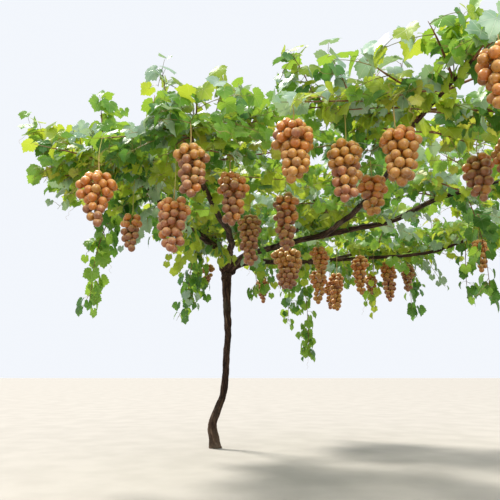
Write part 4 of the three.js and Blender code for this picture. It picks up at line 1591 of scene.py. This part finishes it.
def berry_shape():
    """One berry of unit breadth, a little longer than wide, blossom end towards +Z."""
    bpy.ops.object.select_all(action="DESELECT")
    bpy.ops.mesh.primitive_uv_sphere_add(segments=BERRY_SIDES, ring_count=BERRY_RINGS, radius=0.5)
    ball = VIEW.objects.active
    ball.data.transform(((1, 0, 0, 0), (0, 1, 0, 0), (0, 0, BERRY_LONG, 0), (0, 0, 0, 1)))
    apply_modifier(ball, "TRIANGULATE")
    corners = np.array([vertex.co[:] for vertex in ball.data.vertices])
    faces = [face.vertices[:] for face in ball.data.polygons]
    bpy.data.objects.remove(ball)
    # The modifier leaves the faces in an order that changes from run to run
    faces = np.array(sorted(tuple(np.roll(face, -np.argmin(face))) for face in faces))
    places = np.stack([corners[:, 0] * 0, corners[:, 2] / (BERRY_LONG / 2)], axis=1)
    return corners, faces, places


def berry_copies(shape, rows):
    """Berries of one tint, with the height of each corner on its berry as the first of its places."""
    middles, axes, sizes = (np.array([row[k] for row in rows]) for k in range(3))
    corners, faces, places = copies(shape, middles, axes, sizes)
    each = len(shape[0])
    height = (corners[:, 2] - np.repeat(middles[:, 2], each)) * 2 / np.repeat(sizes, each)
    return corners, faces, np.stack([height, places[:, 1]], axis=1)


bark = bark_piece()
finish_piece(bark, bark_finish(), list(LIMBS))

for green, rows in leaf_rows.items():
    heap = Heap()
    for k, shape in enumerate(LEAF_SHAPES):
        picked = rows[k :: len(LEAF_SHAPES)]
        feet, across, onward, faces_up = (np.array([row[i] for row in picked]) for i in range(4))
        axes = np.stack([across, onward, faces_up], axis=1)
        heap.add(*copies(shape, feet, axes, [row[4] for row in picked]))
    small_piece("leaves_" + green, heap, leaf_finish(green, *LEAF_FINISHES[green]))

small_piece("canes", canes_heap, cane_finish())
for name, heap, *finish in (
    ("side_shoots", sprays_heap, "green_wood", "#6d7a34", "#8f6f3e"),
    ("leaf_stalks", stalks_heap, "stalk", "#8f9a45", "#a98a55"),
    ("bunch_stalks", peduncles_heap, "bunch_stalk", "#a3a552", "#b8955c"),
    ("tendrils", tendrils_heap, "tendril", "#9a8a4a", "#b08450"),
):
    small_piece(name, heap, green_wood_finish(*finish))

# Tints of the berries: low and high shade, and scar
BERRY_FINISHES = {
    "amber": ("#d8861e", "#eea840", "#6a4020"),
    "honey": ("#c8902a", "#deac42", "#6a4a24"),
    "rose": ("#ae6c3a", "#ce925a", "#6a3a28"),
    "bronze": ("#9c6636", "#ba8650", "#55301f"),
    "tawny": ("#a87828", "#c49646", "#5f5428"),
}
TINTS = list(BERRY_FINISHES)
# A bunch's upper and lower berries
BUNCH_FLUSHES = [
    ("amber", "rose"),
    ("amber", "bronze"),
    ("honey", "bronze"),
    ("amber", "honey"),
    ("honey", "rose"),
    ("tawny", "bronze"),
]
FLUSH_LINE = (0.25, 0.60)  # how far down a bunch its lower berries start
FLUSH_EDGE = 0.22  # how far over that line either tint may stray
FLUSH_STRAY = 0.14  # of the berries take any tint
BERRY_AIM = -0.7  # how steeply a berry's blossom end points down
AIM_SCATTER = 0.4
ASLANT = (0.3, 0.2, 1)  # a way in which no berry points

shape = berry_shape()
berry_draws = Draws(BERRY_SEED)
berry_rows = {tint: [] for tint in TINTS}
for bunch, middles, sizes, downs in bunch_rows:
    flush = BUNCH_FLUSHES[int(berry_draws.share() * len(BUNCH_FLUSHES))]
    line = berry_draws.between(*FLUSH_LINE)
    for middle, size, down in zip(middles, sizes, downs):
        low = down + berry_draws.either(FLUSH_EDGE) > line
        stray = berry_draws.share()
        tint = TINTS[int(stray / FLUSH_STRAY * len(TINTS))] if stray < FLUSH_STRAY else flush[low]
        away = (middle[:2] - bunch[:2]) / BERRY
        end = unit((*away, BERRY_AIM + berry_draws.either(AIM_SCATTER)))
        side = unit(np.cross(end, ASLANT))
        berry_rows[tint].append((middle, np.stack([side, np.cross(end, side), end]), size))
for tint, rows in berry_rows.items():
    heap = Heap()
    heap.add(*berry_copies(shape, rows))
    small_piece("berries_" + tint, heap, berry_finish(tint, *BERRY_FINISHES[tint]))

# Stage: a plain pale floor and sky, soft light from above and from the viewer's side
FLOOR_SIZE = 120
SKY = (0.86, 0.89, 0.94, 1)
SKY_STRENGTH = 1.04


def floor_finish():
    finish = Finish("pale_floor")
    speckle = finish.clouds(3, detail=4)
    shade = finish.blend(speckle.band(0.3, 0.7), "#a39e95", "#aba69d")
    return finish.coated(Base_Color=shade, Roughness=0.85)


bpy.ops.object.select_all(action="DESELECT")
bpy.ops.mesh.primitive_plane_add(size=FLOOR_SIZE, location=(0, 0, 0))
floor = VIEW.objects.active
floor.name = "floor"
floor.data.materials.append(floor_finish())

world = bpy.data.worlds.new("sky")
bpy.context.scene.world = world
world.use_nodes = True
background = world.node_tree.nodes["Background"]
background.inputs["Color"].default_value = SKY
background.inputs["Strength"].default_value = SKY_STRENGTH


def lamp(kind, name, place, aim, **settings):
    """A lamp at a place, turned towards another."""
    turn = (Vector(aim) - Vector(place)).to_track_quat("-Z", "Y").to_euler()
    bpy.ops.object.light_add(type=kind, location=place, rotation=turn)
    light = VIEW.objects.active
    light.name = name
    for key, value in settings.items():
        setattr(light.data, key, value)


lamp("SUN", "sun", (-3, 3.5, 8), (0, 0, 0), energy=4.8, angle=math.radians(12), color=(1, 0.96, 0.9))
fill_at, fill_aim = (2.2, -7.4, 4.4), (0.5, -1.9, 1.5)
lamp("AREA", "front_fill", fill_at, fill_aim, energy=205, size=2.4, color=(1, 0.97, 0.93))

bpy.ops.object.camera_add(location=CAMERA_PLACE, rotation=(math.pi / 2 + CAMERA_PITCH, 0, 0))
camera = VIEW.objects.active
camera.data.lens = CAMERA_LENS
camera.data.sensor_width = CAMERA_SENSOR
bpy.context.scene.camera = camera
bpy.context.scene.view_settings.view_transform = "Standard"
